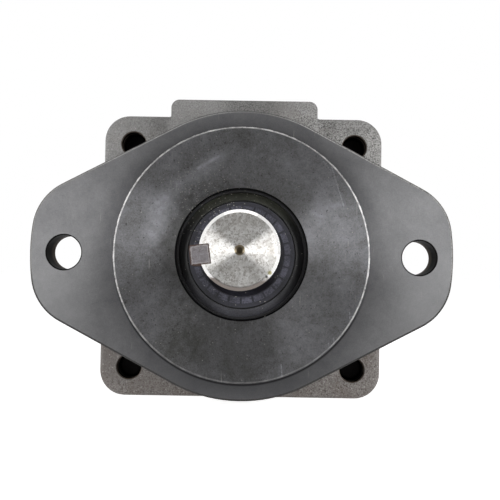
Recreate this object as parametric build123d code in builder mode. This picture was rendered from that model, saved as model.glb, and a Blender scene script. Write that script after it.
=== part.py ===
"""Balanced hydraulic vane pump with a two-bolt flange, built as separate pieces.

Frame: +Z up through the outlet port, +X to the right as seen from the shaft end, the shaft
along Y with its keyed end towards -Y. The origin is the centre of the mounting face on the
shaft axis. All sizes are in millimetres; the name of a station ends in _y.
"""
from build123d import *
import math
import os

os.makedirs("parts", exist_ok=True)


def station(y):
    """Plane across the shaft at height y along it: local x is +X, local y is +Z, facing -Y."""
    return Plane(origin=(0, y, 0), x_dir=(1, 0, 0), z_dir=(0, -1, 0))


def polar(radius, angle):
    """Point at a radius and an angle from +X towards +Z, seen from the shaft end."""
    turn = math.radians(angle)
    return (radius * math.cos(turn), radius * math.sin(turn))


# ---- sizes that drive the pump --------------------------------------------------------
# mounting interface (SAE J744 size C, two bolts)
pilot_radius = 63.5
pilot_height = 12.7
flange_thickness = 16.0
flange_radius = 74.2
flange_bolt_spacing = 180.98
flange_bolt_radius = 8.75
flange_end_edge = 17.5
flange_side_angle = 27.8
flange_corner_radius = 28.0
flange_edge_chamfer = 1.2
machined_chamfer = 1.0
bolt_hole_chamfer = 0.6

# square joint between the two castings, four screws at its corners
square_width = 156.2
square_height = 156.8
square_corner_radius = 14.0
square_shift_x = -0.4
cast_edge_radius = 2.5
square_front_y = 34.0
neck_step = 7.2
neck_root_radius = 4.0
joint_y = 66.5
screw_edge = 16.1
screw_radius = 7.9
screw_thread_radius = 6.75
screw_head_radius = 13.6
screw_head_height = 9.9
screw_end_y = 42.0
screw_end_chamfer = 1.2
screw_hole_radius = 8.5
wrench_room = 2.4
joint_ring_land = 3.0
joint_ring_width = 4.0
joint_ring_depth = 2.8
joint_ring_squeeze = 0.6

# ports (SAE four-bolt flanges, 1 1/4 inch outlet and 2 inch inlet)
outlet_pad_width = 79.4
outlet_pad_front_y = 18.5
outlet_pad_top_z = 84.3
pad_corner_radius = 4.5
pad_front_radius = 2.0
pad_root_radius = 5.0
pad_top_root_radius = 3.5
outlet_port_radius = 15.9
outlet_port_sink = 8.0
outlet_spacing_x = 58.7
outlet_spacing_y = 30.2
outlet_screw_radius = 4.7
outlet_screw_depth = 22.0
outlet_port_y = 42.5
inlet_pad_width = 102.0
inlet_pad_depth = 68.0
inlet_pad_top_z = 90.0
inlet_pad_corner_radius = 12.0
inlet_pad_foot_z = 20.0
inlet_port_radius = 25.4
inlet_port_sink = 14.0
inlet_spacing_x = 77.8
inlet_spacing_y = 42.9
inlet_screw_radius = 5.4
inlet_screw_depth = 24.0
inlet_port_y = 140.0

# shaft, key and front bearing
shaft_end_y = -82.0
shaft_radius = 15.875
shaft_chamfer = 1.3
journal_radius = 17.45
journal_front_y = -20.0
journal_lead = 3.0
centre_drill_radius = 2.1
centre_drill_cone_depth = 1.5
centre_drill_depth = 7.0
key_size = 7.94
key_length = 38.0
key_outer_radius = 19.4
key_chamfer = 0.5
key_turn = 187.3
bearing_bore_radius = 17.5
bearing_section = 13.5
bearing_width = 14.0
bearing_front_y = 4.0
ball_count = 11
ball_radius = 3.97
ball_clearance = 0.05
cage_wall = 1.6
cage_margin = 1.0
race_chamfer = 0.4
bearing_shoulder = 3.5
bearing_shoulder_width = 4.0
ring_groove_depth = 1.6
ring_groove_play = 0.1
shaft_groove_depth = 0.9
shaft_groove_play = 0.05
snap_ring_thickness = 1.75
snap_ring_height = 2.4
snap_ring_gap = 7.0
retaining_ring_thickness = 2.0
retaining_ring_height = 2.6
retaining_ring_gap = 9.0
shaft_shoulder_radius = 20.0
shaft_shoulder_width = 5.0
shaft_neck_radius = 16.0
tail_radius = 12.45
tail_end_y = 138.0
tail_chamfer = 1.0

# shaft seal
seal_front_y = -9.5
seal_rear_y = 0.5
seal_step = 1.0
seal_bore_chamfer = 0.8
seal_case_wall = 0.9
seal_web_y = -4.0
seal_dish_width = 4.1
seal_dish_depth = 2.4
seal_groove_width = 0.6
seal_collar_width = 5.6
segment_inset = 2.2
segment_gap = 1.0
segment_height = 0.5
seal_segments = 24
garter_radius = 0.75
lip_gap = 0.3
lip_thickness = 1.4

# cartridge
rotor_width = 31.94
ring_width = 32.0
rotor_radius = 38.6
vane_count = 12
vane_thickness = 1.8
vane_width = 31.9
vane_clearance = 0.03
vane_tip_radius = 38.9
vane_root_radius = 24.4
slot_root_radius = 22.2
insert_width = 9.5
insert_height = 8.0
insert_top_radius = 31.2
cam_minor_radius = 39.0
cam_major_radius = 45.2
cam_minor_angle = 42.3
cam_dwell = 24.0
outlet_kidney_angle = 87.3
inlet_kidney_angle = 177.3
outlet_kidney_radius = 38.5
outlet_kidney_width = 7.0
inlet_kidney_radius = 41.5
inlet_kidney_width = 10.0
kidney_spread = 36.0
ring_radius = 60.0
side_plate_thickness = 3.2
side_plate_step = 2.0
support_plate_thickness = 12.0
hub_radius = 29.9
hub_front_y = 25.0
hub_clearance = 0.1
plate_spigot = 6.5
plate_edge_chamfer = 0.8
rim_groove_y = 61.6
hub_groove_y = 28.0
plate_ring_height = 3.1
plate_ring_width = 3.4
backup_ring_width = 1.4
ring_seal_chamfer = 0.8
spline_teeth = 14
spline_root_radius = 14.2
spline_tip_radius = 15.8
spline_tooth_width = 3.2
spline_clearance = 0.06
dowel_radius = 3.0
dowel_edge = 7.5
cartridge_screw_radius = 2.5
cartridge_screw_play = 0.3
cartridge_screw_angle = 32.0
screw_counterbore_depth = 6.0
bushing_radius = 15.5
bushing_clearance = 0.05
shaft_passage_radius = 18.5
tail_hub_radius = 24.0
tail_hub_rear_y = 136.0

# walls of the castings round the cartridge
cavity_gap = 3.0
cover_wall = 9.4
cover_flange_thickness = 21.5
cover_end_y = 180.0
cover_end_radius = 14.0
chamber_step = 8.0
outlet_chamber_front_y = 40.0
inlet_chamber_rear_y = 168.0
inlet_chamber_bevel = 10.0

# how far a form runs into what carries it, or stops short of what it faces
sunk = 1.0

# ---- sizes and stations that follow from them ------------------------------------------
flange_end_radius = flange_bolt_spacing / 2 + flange_end_edge
neck_radius = flange_radius - neck_step
screw_spacing_x = square_width - 2 * screw_edge
screw_spacing_z = square_height - 2 * screw_edge
cavity_radius = ring_radius + cavity_gap
cover_radius = cavity_radius + cover_wall
joint_ring_radius = cavity_radius + joint_ring_land + joint_ring_width / 2
side_plate_radius = ring_radius - side_plate_step
dowel_circle_radius = ring_radius - dowel_edge
chamber_radius = ring_radius - chamber_step
bearing_outer_radius = bearing_bore_radius + bearing_section
ball_circle_radius = (bearing_bore_radius + bearing_outer_radius) / 2
race_land_radius = ball_circle_radius + 0.7 * ball_radius
bearing_shoulder_radius = bearing_outer_radius - bearing_shoulder
seal_radius = bearing_outer_radius + seal_step
seal_bore_radius = seal_radius - seal_case_wall
seal_dish_radius = seal_bore_radius - seal_dish_width
seal_collar_radius = seal_dish_radius - seal_groove_width
seal_mouth_radius = seal_collar_radius - seal_collar_width
seal_collar_y = seal_front_y + seal_case_wall
seal_web_radius = seal_collar_radius - segment_inset
lip_radius = journal_radius + lip_gap
lip_length = seal_rear_y - seal_web_y - seal_case_wall
spring_seat_radius = lip_radius + 2 * lip_thickness
pad_side_x = outlet_pad_width / 2
pad_foot_z = 0.6 * neck_radius
square_top_z = square_height / 2
bearing_rear_y = bearing_front_y + bearing_width
outlet_plate_front_y = joint_y - plate_spigot
outlet_plate_rear_y = outlet_plate_front_y + support_plate_thickness
ring_front_y = outlet_plate_rear_y + side_plate_thickness
ring_rear_y = ring_front_y + ring_width
ring_middle_y = (ring_front_y + ring_rear_y) / 2
inlet_plate_front_y = ring_rear_y + side_plate_thickness
inlet_plate_rear_y = inlet_plate_front_y + support_plate_thickness
cover_flange_rear_y = joint_y + cover_flange_thickness
rim_ring_radius = ring_radius + hub_clearance - plate_ring_height / 2
hub_ring_radius = hub_radius + hub_clearance - plate_ring_height / 2
cartridge_hole_radius = cartridge_screw_radius + cartridge_screw_play
vane_pitch = 360.0 / vane_count
vane_angles = [key_turn + vane_pitch * (i + 0.5) for i in range(vane_count)]
dowel_angles = [cam_minor_angle, cam_minor_angle + 180.0]
screw_angles = [angle + cartridge_screw_angle for angle in dowel_angles]


# ---- front housing: flange, pilot, square joint flange and outlet port ------------------
tangent_angle = 90.0 - flange_side_angle
side_length = math.sqrt(flange_end_radius**2 - flange_radius**2)
tangent_x, tangent_z = polar(flange_radius, tangent_angle)
corner_x = tangent_x + side_length * math.cos(math.radians(flange_side_angle))
corner_z = tangent_z - side_length * math.sin(math.radians(flange_side_angle))


def joint_flange(rear_y, thickness, rounded_end):
    """Square flange of one casting at the joint; the rim of one end is rounded as cast."""
    with BuildPart() as flange:
        with BuildSketch(station(rear_y)):
            with Locations((square_shift_x, 0)):
                RectangleRounded(square_width, square_height, square_corner_radius)
        extrude(amount=thickness)
        fillet(edges().group_by(Axis.Y)[rounded_end], radius=cast_edge_radius)
    return flange.part


with BuildPart() as outlet_pad:
    with BuildSketch(station(joint_y)):
        with BuildLine():
            Polyline(
                (-pad_side_x, pad_foot_z),
                (-pad_side_x, outlet_pad_top_z),
                (pad_side_x, outlet_pad_top_z),
                (pad_side_x, pad_foot_z),
                close=True,
            )
        make_face()
        fillet(vertices().group_by(Axis.Y)[-1], radius=pad_corner_radius)
    extrude(amount=joint_y - outlet_pad_front_y)
    front_rim = edges().group_by(Axis.Y)[0]
    fillet([e for e in front_rim if e.center().Z > pad_foot_z + sunk], radius=pad_front_radius)


def root_web(side, wall, radius):
    """Concave cast fillet in the open sketch, in the corner of the pad's side and a wall."""
    with Locations((side * (pad_side_x + (radius - sunk) / 2), wall[0] + wall[1] * (radius - sunk) / 2)):
        Rectangle(radius + sunk, radius + sunk)
    with Locations((side * (pad_side_x + radius), wall[0] + wall[1] * radius)):
        Circle(radius, mode=Mode.SUBTRACT)


with BuildPart() as front_housing:
    # mounting flange: a round middle, straight sides tangent to it, ends round the shaft axis
    with BuildSketch(station(flange_thickness)):
        with BuildLine():
            ThreePointArc((-tangent_x, tangent_z), (0, flange_radius), (tangent_x, tangent_z))
            Line((tangent_x, tangent_z), (corner_x, corner_z))
            ThreePointArc((corner_x, corner_z), (flange_end_radius, 0), (corner_x, -corner_z))
            Line((corner_x, -corner_z), (tangent_x, -tangent_z))
            ThreePointArc((tangent_x, -tangent_z), (0, -flange_radius), (-tangent_x, -tangent_z))
            Line((-tangent_x, -tangent_z), (-corner_x, -corner_z))
            ThreePointArc((-corner_x, -corner_z), (-flange_end_radius, 0), (-corner_x, corner_z))
            Line((-corner_x, corner_z), (-tangent_x, tangent_z))
        make_face()
        flange_corners = [v for v in vertices() if abs(v.X) > corner_x - 1.0]
        fillet(flange_corners, radius=flange_corner_radius)
    extrude(amount=flange_thickness)
    chamfer(edges().group_by(Axis.Y)[0], length=flange_edge_chamfer)

    # round neck between the flange and the square joint flange
    with BuildSketch(station(square_front_y + sunk)):
        Circle(neck_radius)
    extrude(amount=square_front_y + sunk - flange_thickness)
    neck_root = edges().filter_by(GeomType.CIRCLE)
    neck_root = [e for e in neck_root if abs(e.radius - neck_radius) < 0.01]
    neck_root = [e for e in neck_root if abs(e.center().Y - flange_thickness) < 0.01]
    fillet(neck_root, radius=neck_root_radius)

    # square joint flange
    add(joint_flange(joint_y, joint_y - square_front_y, 0))

    # outlet port pad, standing proud in front of the square flange
    add(outlet_pad.part)
    with BuildSketch(Plane.XY.offset(pad_foot_z)):
        for side in (-1, 1):
            root_web(side, (square_front_y, -1), pad_root_radius)
    extrude(amount=square_top_z - cast_edge_radius - pad_foot_z)
    with BuildSketch(station(joint_y)):
        for side in (-1, 1):
            root_web(side, (square_top_z, 1), pad_top_root_radius)
    extrude(amount=joint_y - square_front_y - cast_edge_radius)

    # pilot that centres the pump in its mounting
    with BuildSketch(station(0)):
        Circle(pilot_radius)
    extrude(amount=pilot_height)
    chamfer(edges().group_by(Axis.Y)[0], length=machined_chamfer)

    # bores for seal, bearing and plate hub, and the outlet chamber behind them
    with BuildSketch(Plane.XY):
        with BuildLine():
            Polyline(
                (0, -pilot_height),
                (seal_radius + seal_bore_chamfer, -pilot_height),
                (seal_radius, -pilot_height + seal_bore_chamfer),
                (seal_radius, seal_rear_y),
                (bearing_outer_radius, seal_rear_y),
                (bearing_outer_radius, bearing_front_y - retaining_ring_thickness),
                (bearing_outer_radius + ring_groove_depth, bearing_front_y - retaining_ring_thickness),
                (bearing_outer_radius + ring_groove_depth, bearing_front_y),
                (bearing_outer_radius, bearing_front_y),
                (bearing_outer_radius, bearing_rear_y),
                (bearing_shoulder_radius, bearing_rear_y),
                (bearing_shoulder_radius, bearing_rear_y + bearing_shoulder_width),
                (hub_radius + hub_clearance, bearing_rear_y + bearing_shoulder_width),
                (hub_radius + hub_clearance, outlet_chamber_front_y),
                (chamber_radius, outlet_chamber_front_y),
                (chamber_radius, outlet_plate_front_y),
                (ring_radius + hub_clearance, outlet_plate_front_y),
                (ring_radius + hub_clearance, joint_y),
                (0, joint_y),
                close=True,
            )
        make_face()
    revolve(axis=Axis.Y, mode=Mode.SUBTRACT)

    # outlet port and the tapped holes of its pad
    with Locations(Location((0, outlet_port_y, outlet_pad_top_z))):
        Hole(outlet_port_radius, depth=outlet_pad_top_z - chamber_radius + outlet_port_sink)
        with GridLocations(outlet_spacing_x, outlet_spacing_y, 2, 2):
            Hole(radius=outlet_screw_radius, depth=outlet_screw_depth)

    # mounting bolt holes and the tapped corner holes
    with BuildSketch(station(flange_thickness)):
        with GridLocations(flange_bolt_spacing, 1, 2, 1):
            Circle(flange_bolt_radius)
    extrude(amount=flange_thickness, mode=Mode.SUBTRACT)
    with BuildSketch(station(joint_y)):
        with GridLocations(screw_spacing_x, screw_spacing_z, 2, 2):
            Circle(screw_thread_radius)
    extrude(amount=joint_y - square_front_y, mode=Mode.SUBTRACT)
    hole_rims = edges().filter_by(GeomType.CIRCLE)
    flange_rims = [e for e in hole_rims if abs(e.radius - flange_bolt_radius) < 0.01]
    corner_rims = [e for e in hole_rims if abs(e.radius - screw_thread_radius) < 0.01]
    chamfer(flange_rims, length=bolt_hole_chamfer)
    corner_rims = [e for e in corner_rims if e.center().Y < square_front_y + sunk]
    chamfer(corner_rims, length=bolt_hole_chamfer)
front_housing.part.label = "front_housing"
export_step(front_housing.part, "parts/front_housing.step")


# ---- inlet cover: square flange, barrel round the cartridge, inlet port -------------------
with BuildPart() as inlet_cover:
    add(joint_flange(cover_flange_rear_y, cover_flange_thickness, -1))

    # barrel with a rounded end
    with BuildSketch(station(cover_end_y)):
        Circle(cover_radius)
    extrude(amount=cover_end_y - cover_flange_rear_y)
    fillet(edges().group_by(Axis.Y)[-1], radius=cover_end_radius)

    # inlet port pad
    with BuildSketch(Plane.XY.offset(inlet_pad_foot_z)):
        with Locations((0, inlet_port_y)):
            RectangleRounded(inlet_pad_width, inlet_pad_depth, inlet_pad_corner_radius)
    extrude(amount=inlet_pad_top_z - inlet_pad_foot_z)
    chamfer(edges().filter_by(Plane.XY).group_by(Axis.Z)[-1], length=machined_chamfer)

    # room for a wrench round the head of each corner screw
    with BuildSketch(station(cover_flange_rear_y + 2 * screw_head_height)):
        with GridLocations(screw_spacing_x, screw_spacing_z, 2, 2):
            Circle(screw_head_radius + wrench_room)
    extrude(amount=2 * screw_head_height, mode=Mode.SUBTRACT)

    # room for the cartridge and the inlet chamber behind it
    with BuildSketch(Plane.XY):
        with BuildLine():
            Polyline(
                (0, joint_y),
                (cavity_radius, joint_y),
                (cavity_radius, inlet_plate_rear_y),
                (chamber_radius, inlet_plate_rear_y),
                (chamber_radius, inlet_chamber_rear_y - inlet_chamber_bevel),
                (chamber_radius - inlet_chamber_bevel, inlet_chamber_rear_y),
                (0, inlet_chamber_rear_y),
                close=True,
            )
        make_face()
    revolve(axis=Axis.Y, mode=Mode.SUBTRACT)

    # groove for the joint ring
    with BuildSketch(station(joint_y + joint_ring_depth)):
        Circle(joint_ring_radius + joint_ring_width / 2)
        Circle(joint_ring_radius - joint_ring_width / 2, mode=Mode.SUBTRACT)
    extrude(amount=joint_ring_depth, mode=Mode.SUBTRACT)

    # inlet port and the tapped holes of its pad
    with Locations(Location((0, inlet_port_y, inlet_pad_top_z))):
        Hole(inlet_port_radius, depth=inlet_pad_top_z - chamber_radius + inlet_port_sink)
        with GridLocations(inlet_spacing_x, inlet_spacing_y, 2, 2):
            Hole(radius=inlet_screw_radius, depth=inlet_screw_depth)

    # clearance holes for the corner screws
    with BuildSketch(station(cover_flange_rear_y)):
        with GridLocations(screw_spacing_x, screw_spacing_z, 2, 2):
            Circle(screw_hole_radius)
    extrude(amount=cover_flange_thickness, mode=Mode.SUBTRACT)
inlet_cover.part.label = "inlet_cover"
export_step(inlet_cover.part, "parts/inlet_cover.step")


# ---- four hexagon screws that hold the cover ----------------------------------------------
with BuildPart() as cover_screws:
    with BuildSketch(station(joint_y)):
        with GridLocations(screw_spacing_x, screw_spacing_z, 2, 2):
            Circle(screw_thread_radius)
    extrude(amount=joint_y - screw_end_y)
    chamfer(edges().group_by(Axis.Y)[0], length=screw_end_chamfer)
    with BuildSketch(station(cover_flange_rear_y)):
        with GridLocations(screw_spacing_x, screw_spacing_z, 2, 2):
            Circle(screw_radius)
    extrude(amount=cover_flange_thickness)
    with BuildSketch(station(cover_flange_rear_y + screw_head_height)):
        with GridLocations(screw_spacing_x, screw_spacing_z, 2, 2):
            RegularPolygon(screw_head_radius, 6)
    extrude(amount=screw_head_height)
    chamfer(edges().group_by(Axis.Y)[-1], length=machined_chamfer)
cover_screws.part.label = "cover_screws"
export_step(cover_screws.part, "parts/cover_screws.step")


# ---- ring seals: each fills its groove, so its section has flat sides ---------------------
def seal_ring(name, radius, front_y, height, width):
    """Squeezed rubber ring round the shaft axis, its section a rectangle with bevelled corners."""
    with BuildPart() as ring:
        with BuildSketch(Plane.XY):
            with Locations((radius, front_y + width / 2)):
                Rectangle(height, width)
            chamfer(vertices(), length=ring_seal_chamfer)
        revolve(axis=Axis.Y)
    ring.part.label = name
    export_step(ring.part, "parts/" + name + ".step")


joint_ring_height = joint_ring_width - joint_ring_squeeze
seal_ring("cover_joint_ring", joint_ring_radius, joint_y, joint_ring_height, joint_ring_depth)
seal_ring("plate_rim_ring", rim_ring_radius, rim_groove_y, plate_ring_height, plate_ring_width)
seal_ring("hub_ring", hub_ring_radius, hub_groove_y, plate_ring_height, plate_ring_width)

with BuildPart() as hub_backup_ring:
    with BuildSketch(station(hub_groove_y + plate_ring_width + backup_ring_width)):
        Circle(hub_ring_radius + plate_ring_height / 2)
        Circle(hub_ring_radius - plate_ring_height / 2, mode=Mode.SUBTRACT)
    extrude(amount=backup_ring_width)
hub_backup_ring.part.label = "hub_backup_ring"
export_step(hub_backup_ring.part, "parts/hub_backup_ring.step")


# ---- shaft seal: steel case, rubber with its lips, garter spring --------------------------
with BuildPart() as seal_case:
    with BuildSketch(Plane.XY):
        with BuildLine():
            Polyline(
                (seal_radius, seal_front_y),
                (seal_radius, seal_rear_y),
                (seal_bore_radius, seal_rear_y),
                (seal_bore_radius, seal_web_y + seal_case_wall),
                (seal_web_radius, seal_web_y + seal_case_wall),
                (seal_web_radius, seal_web_y),
                (seal_bore_radius, seal_web_y),
                (seal_bore_radius, seal_front_y),
                close=True,
            )
        make_face()
    revolve(axis=Axis.Y)
seal_case.part.label = "seal_case"
export_step(seal_case.part, "parts/seal_case.step")

with BuildPart() as seal_rubber:
    with BuildSketch(Plane.XY):
        with BuildLine():
            Polyline(
                (seal_bore_radius, seal_web_y),
                (seal_bore_radius, seal_collar_y + seal_dish_depth),
                (seal_dish_radius, seal_collar_y + 0.5 * seal_dish_depth),
                (seal_dish_radius, seal_collar_y + seal_dish_depth),
                (seal_collar_radius, seal_collar_y + seal_dish_depth),
                (seal_collar_radius, seal_collar_y),
                (seal_mouth_radius, seal_collar_y),
                (lip_radius + lip_thickness, seal_collar_y + seal_dish_depth),
                (lip_radius, seal_collar_y + 1.5 * seal_dish_depth),
                (lip_radius + lip_thickness, seal_web_y),
                (lip_radius + lip_thickness, seal_web_y + seal_case_wall),
                (lip_radius, seal_rear_y - 0.3 * lip_length),
                (lip_radius + 0.5 * lip_thickness, seal_rear_y - 0.1 * lip_length),
                (spring_seat_radius, seal_rear_y - 0.1 * lip_length),
                (spring_seat_radius, seal_rear_y - 0.6 * lip_length),
                (seal_web_radius - lip_thickness, seal_web_y + seal_case_wall),
                (seal_web_radius, seal_web_y + seal_case_wall),
                (seal_web_radius, seal_web_y),
                close=True,
            )
        make_face()
    revolve(axis=Axis.Y)

    # raised moulded segments on the collar, with a gap between one and the next
    with BuildSketch(station(seal_collar_y)):
        Circle(seal_collar_radius - segment_inset)
        Circle(seal_mouth_radius + segment_inset / 4, mode=Mode.SUBTRACT)
        with PolarLocations(seal_mouth_radius, seal_segments):
            Rectangle(2 * seal_collar_radius - 2 * seal_mouth_radius, segment_gap, mode=Mode.SUBTRACT)
    extrude(amount=segment_height)
seal_rubber.part.label = "seal_rubber"
export_step(seal_rubber.part, "parts/seal_rubber.step")

with BuildPart() as garter_spring:
    with BuildSketch(Plane.XY):
        with Locations((spring_seat_radius + garter_radius, seal_rear_y - 0.35 * lip_length)):
            Circle(garter_radius)
    revolve(axis=Axis.Y)
garter_spring.part.label = "garter_spring"
export_step(garter_spring.part, "parts/garter_spring.step")


# ---- front ball bearing and the two rings that hold it ------------------------------------
bearing_middle_y = (bearing_front_y + bearing_rear_y) / 2


def bearing_race(name, inner, outer):
    """One race of the bearing, with the groove that its balls run in."""
    with BuildPart() as race:
        with BuildSketch(Plane.XY):
            with Locations(((inner + outer) / 2, bearing_middle_y)):
                Rectangle(outer - inner, bearing_width)
            with Locations((ball_circle_radius, bearing_middle_y)):
                Circle(ball_radius + ball_clearance, mode=Mode.SUBTRACT)
        revolve(axis=Axis.Y)
        chamfer(edges().filter_by(GeomType.CIRCLE).group_by(Axis.Y)[0], length=race_chamfer)
    race.part.label = name
    export_step(race.part, "parts/" + name + ".step")


bearing_race("bearing_outer_race", race_land_radius, bearing_outer_radius)
bearing_race("bearing_inner_race", bearing_bore_radius, 2 * ball_circle_radius - race_land_radius)

with BuildPart() as bearing_balls:
    with Locations((0, bearing_middle_y, 0)):
        with Locations(Rotation(90, 0, 0)):
            with PolarLocations(ball_circle_radius, ball_count):
                Sphere(ball_radius)
bearing_balls.part.label = "bearing_balls"
export_step(bearing_balls.part, "parts/bearing_balls.step")

with BuildPart() as bearing_cage:
    with BuildSketch(station(bearing_middle_y + ball_radius + cage_margin)):
        Circle(ball_circle_radius + cage_wall / 2)
        Circle(ball_circle_radius - cage_wall / 2, mode=Mode.SUBTRACT)
    extrude(amount=2 * (ball_radius + cage_margin))
    for number in range(ball_count):
        across = polar(1.0, 360.0 / ball_count * number)
        pocket = Plane(origin=(0, bearing_middle_y, 0), x_dir=(0, 1, 0), z_dir=(across[0], 0, across[1]))
        with BuildSketch(pocket):
            Circle(ball_radius + ball_clearance)
        extrude(amount=bearing_outer_radius, mode=Mode.SUBTRACT)
bearing_cage.part.label = "bearing_cage"
export_step(bearing_cage.part, "parts/bearing_cage.step")

with BuildPart() as bearing_retaining_ring:
    with BuildSketch(station(bearing_front_y)):
        Circle(bearing_outer_radius + ring_groove_depth - ring_groove_play)
        Circle(bearing_outer_radius - retaining_ring_height, mode=Mode.SUBTRACT)
        with Locations((0, -bearing_outer_radius)):
            Rectangle(retaining_ring_gap, 4 * retaining_ring_height, mode=Mode.SUBTRACT)
    extrude(amount=retaining_ring_thickness)
bearing_retaining_ring.part.label = "bearing_retaining_ring"
export_step(bearing_retaining_ring.part, "parts/bearing_retaining_ring.step")

with BuildPart() as shaft_snap_ring:
    with BuildSketch(station(bearing_front_y)):
        Circle(bearing_bore_radius + snap_ring_height)
        Circle(bearing_bore_radius - shaft_groove_depth + shaft_groove_play, mode=Mode.SUBTRACT)
        with Locations((0, bearing_bore_radius)):
            Rectangle(snap_ring_gap, 4 * snap_ring_height, mode=Mode.SUBTRACT)
    extrude(amount=snap_ring_thickness)
shaft_snap_ring.part.label = "shaft_snap_ring"
export_step(shaft_snap_ring.part, "parts/shaft_snap_ring.step")


# ---- shaft with its keyseat, spline and tail ----------------------------------------------
def spline_profile(grow):
    """Section of the spline in the open sketch: a round core with straight-sided teeth."""
    tooth_length = spline_tip_radius - spline_root_radius + sunk + grow
    tooth_middle = spline_root_radius - sunk + tooth_length / 2
    Circle(spline_root_radius + grow)
    with PolarLocations(tooth_middle, spline_teeth, start_angle=key_turn):
        Rectangle(tooth_length, spline_tooth_width + 2 * grow)


with BuildPart() as shaft:
    with BuildSketch(Plane.XY):
        with BuildLine():
            Polyline(
                (0, shaft_end_y),
                (shaft_radius - shaft_chamfer, shaft_end_y),
                (shaft_radius, shaft_end_y + shaft_chamfer),
                (shaft_radius, journal_front_y),
                (journal_radius, journal_front_y + journal_lead),
                (journal_radius, seal_rear_y),
                (bearing_bore_radius, seal_rear_y + sunk),
                (bearing_bore_radius, bearing_front_y - snap_ring_thickness),
                (bearing_bore_radius - shaft_groove_depth, bearing_front_y - snap_ring_thickness),
                (bearing_bore_radius - shaft_groove_depth, bearing_front_y),
                (bearing_bore_radius, bearing_front_y),
                (bearing_bore_radius, bearing_rear_y),
                (shaft_shoulder_radius, bearing_rear_y),
                (shaft_shoulder_radius, bearing_rear_y + shaft_shoulder_width),
                (shaft_neck_radius, bearing_rear_y + shaft_shoulder_width + sunk),
                (shaft_neck_radius, ring_front_y - side_plate_thickness),
                (spline_root_radius, ring_front_y - side_plate_thickness / 2),
                (spline_root_radius, ring_rear_y + side_plate_thickness / 3),
                (tail_radius, ring_rear_y + side_plate_thickness),
                (tail_radius, tail_end_y - tail_chamfer),
                (tail_radius - tail_chamfer, tail_end_y),
                (0, tail_end_y),
                close=True,
            )
        make_face()
    revolve(axis=Axis.Y)

    # spline that drives the rotor
    with BuildSketch(station(ring_rear_y)):
        spline_profile(0.0)
    extrude(amount=ring_width)

    # keyseat: flat bottom, open at the shaft end, rounded where the cutter leaves it
    keyseat = Plane(
        origin=(0, shaft_end_y, 0),
        x_dir=(0, 1, 0),
        z_dir=(math.cos(math.radians(key_turn)), 0, math.sin(math.radians(key_turn))),
    )
    with BuildSketch(keyseat.offset(key_outer_radius - key_size)):
        with Locations((key_length / 2, 0)):
            Rectangle(key_length, key_size)
        with Locations((key_length, 0)):
            Circle(key_size / 2)
    extrude(amount=key_size, mode=Mode.SUBTRACT)

    # centre drilling in the end face
    with Locations(Location(Plane(origin=(0, shaft_end_y, 0), z_dir=(0, -1, 0)))):
        CounterSinkHole(centre_drill_radius * 0.6, centre_drill_radius, depth=centre_drill_depth)
shaft.part.label = "shaft"
export_step(shaft.part, "parts/shaft.step")

with BuildPart() as shaft_key:
    with BuildSketch(keyseat.offset(key_outer_radius - key_size)):
        with Locations((key_length / 2, 0)):
            Rectangle(key_length, key_size)
    extrude(amount=key_size)
    chamfer(edges().filter_by(Axis.Y), length=key_chamfer)
shaft_key.part.label = "shaft_key"
export_step(shaft_key.part, "parts/shaft_key.step")


# ---- rotor with twelve vane slots, its vanes and their inserts ----------------------------
with BuildPart() as rotor:
    with BuildSketch(station(ring_middle_y + rotor_width / 2)):
        Circle(rotor_radius)
        slot_length = rotor_radius - slot_root_radius + sunk
        slot_middle = slot_root_radius + slot_length / 2
        with PolarLocations(slot_middle, vane_count, start_angle=vane_angles[0]):
            Rectangle(slot_length, vane_thickness + 2 * vane_clearance, mode=Mode.SUBTRACT)
        with PolarLocations(slot_root_radius, vane_count, start_angle=vane_angles[0]):
            Circle(vane_thickness, mode=Mode.SUBTRACT)
    extrude(amount=rotor_width)
    with BuildSketch(station(ring_middle_y + rotor_width / 2)):
        spline_profile(spline_clearance)
    extrude(amount=rotor_width, mode=Mode.SUBTRACT)
rotor.part.label = "rotor"
export_step(rotor.part, "parts/rotor.step")

with BuildPart() as vane_inserts:
    with BuildSketch(station(ring_middle_y + insert_width / 2)):
        insert_middle = slot_root_radius + insert_height / 2
        with PolarLocations(insert_middle, vane_count, start_angle=vane_angles[0]):
            Rectangle(insert_height, vane_thickness)
    extrude(amount=insert_width)
vane_inserts.part.label = "vane_inserts"
export_step(vane_inserts.part, "parts/vane_inserts.step")

for number, angle in enumerate(vane_angles):
    outward = Vector(math.cos(math.radians(angle)), 0, math.sin(math.radians(angle)))
    side_face = Plane(origin=(0, ring_middle_y, 0), x_dir=(0, 1, 0), z_dir=Vector(0, 1, 0).cross(outward))
    with BuildPart() as vane:
        # the side face of the blade, with the notch that slides over the insert
        with BuildSketch(side_face.offset(-vane_thickness / 2)):
            with Locations((0, (vane_root_radius + vane_tip_radius) / 2)):
                Rectangle(vane_width, vane_tip_radius - vane_root_radius)
            with Locations((0, (vane_root_radius + insert_top_radius) / 2)):
                notch_height = insert_top_radius - vane_root_radius
                Rectangle(insert_width + 2 * vane_clearance, notch_height, mode=Mode.SUBTRACT)
        extrude(amount=vane_thickness)
        tip_edges = edges().filter_by(Axis.Y).sort_by(lambda e: e.center().dot(outward))[-2:]
        fillet(tip_edges, radius=vane_thickness / 2 - 0.05)
    vane.part.label = f"vane_{number + 1}"
    export_step(vane.part, f"parts/vane_{number + 1}.step")


# ---- cam ring: the bore has two dwells at each radius and smooth ramps between -------------
def cam_radius(angle):
    """Bore radius at an angle from the minor axis: a dwell at each axis, cosine ramps between."""
    within = abs((angle + 90.0) % 180.0 - 90.0)
    ramp = min(max((within - cam_dwell / 2) / (90.0 - cam_dwell), 0.0), 1.0)
    rise = (1 - math.cos(math.pi * ramp)) / 2
    return cam_minor_radius + (cam_major_radius - cam_minor_radius) * rise


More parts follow.
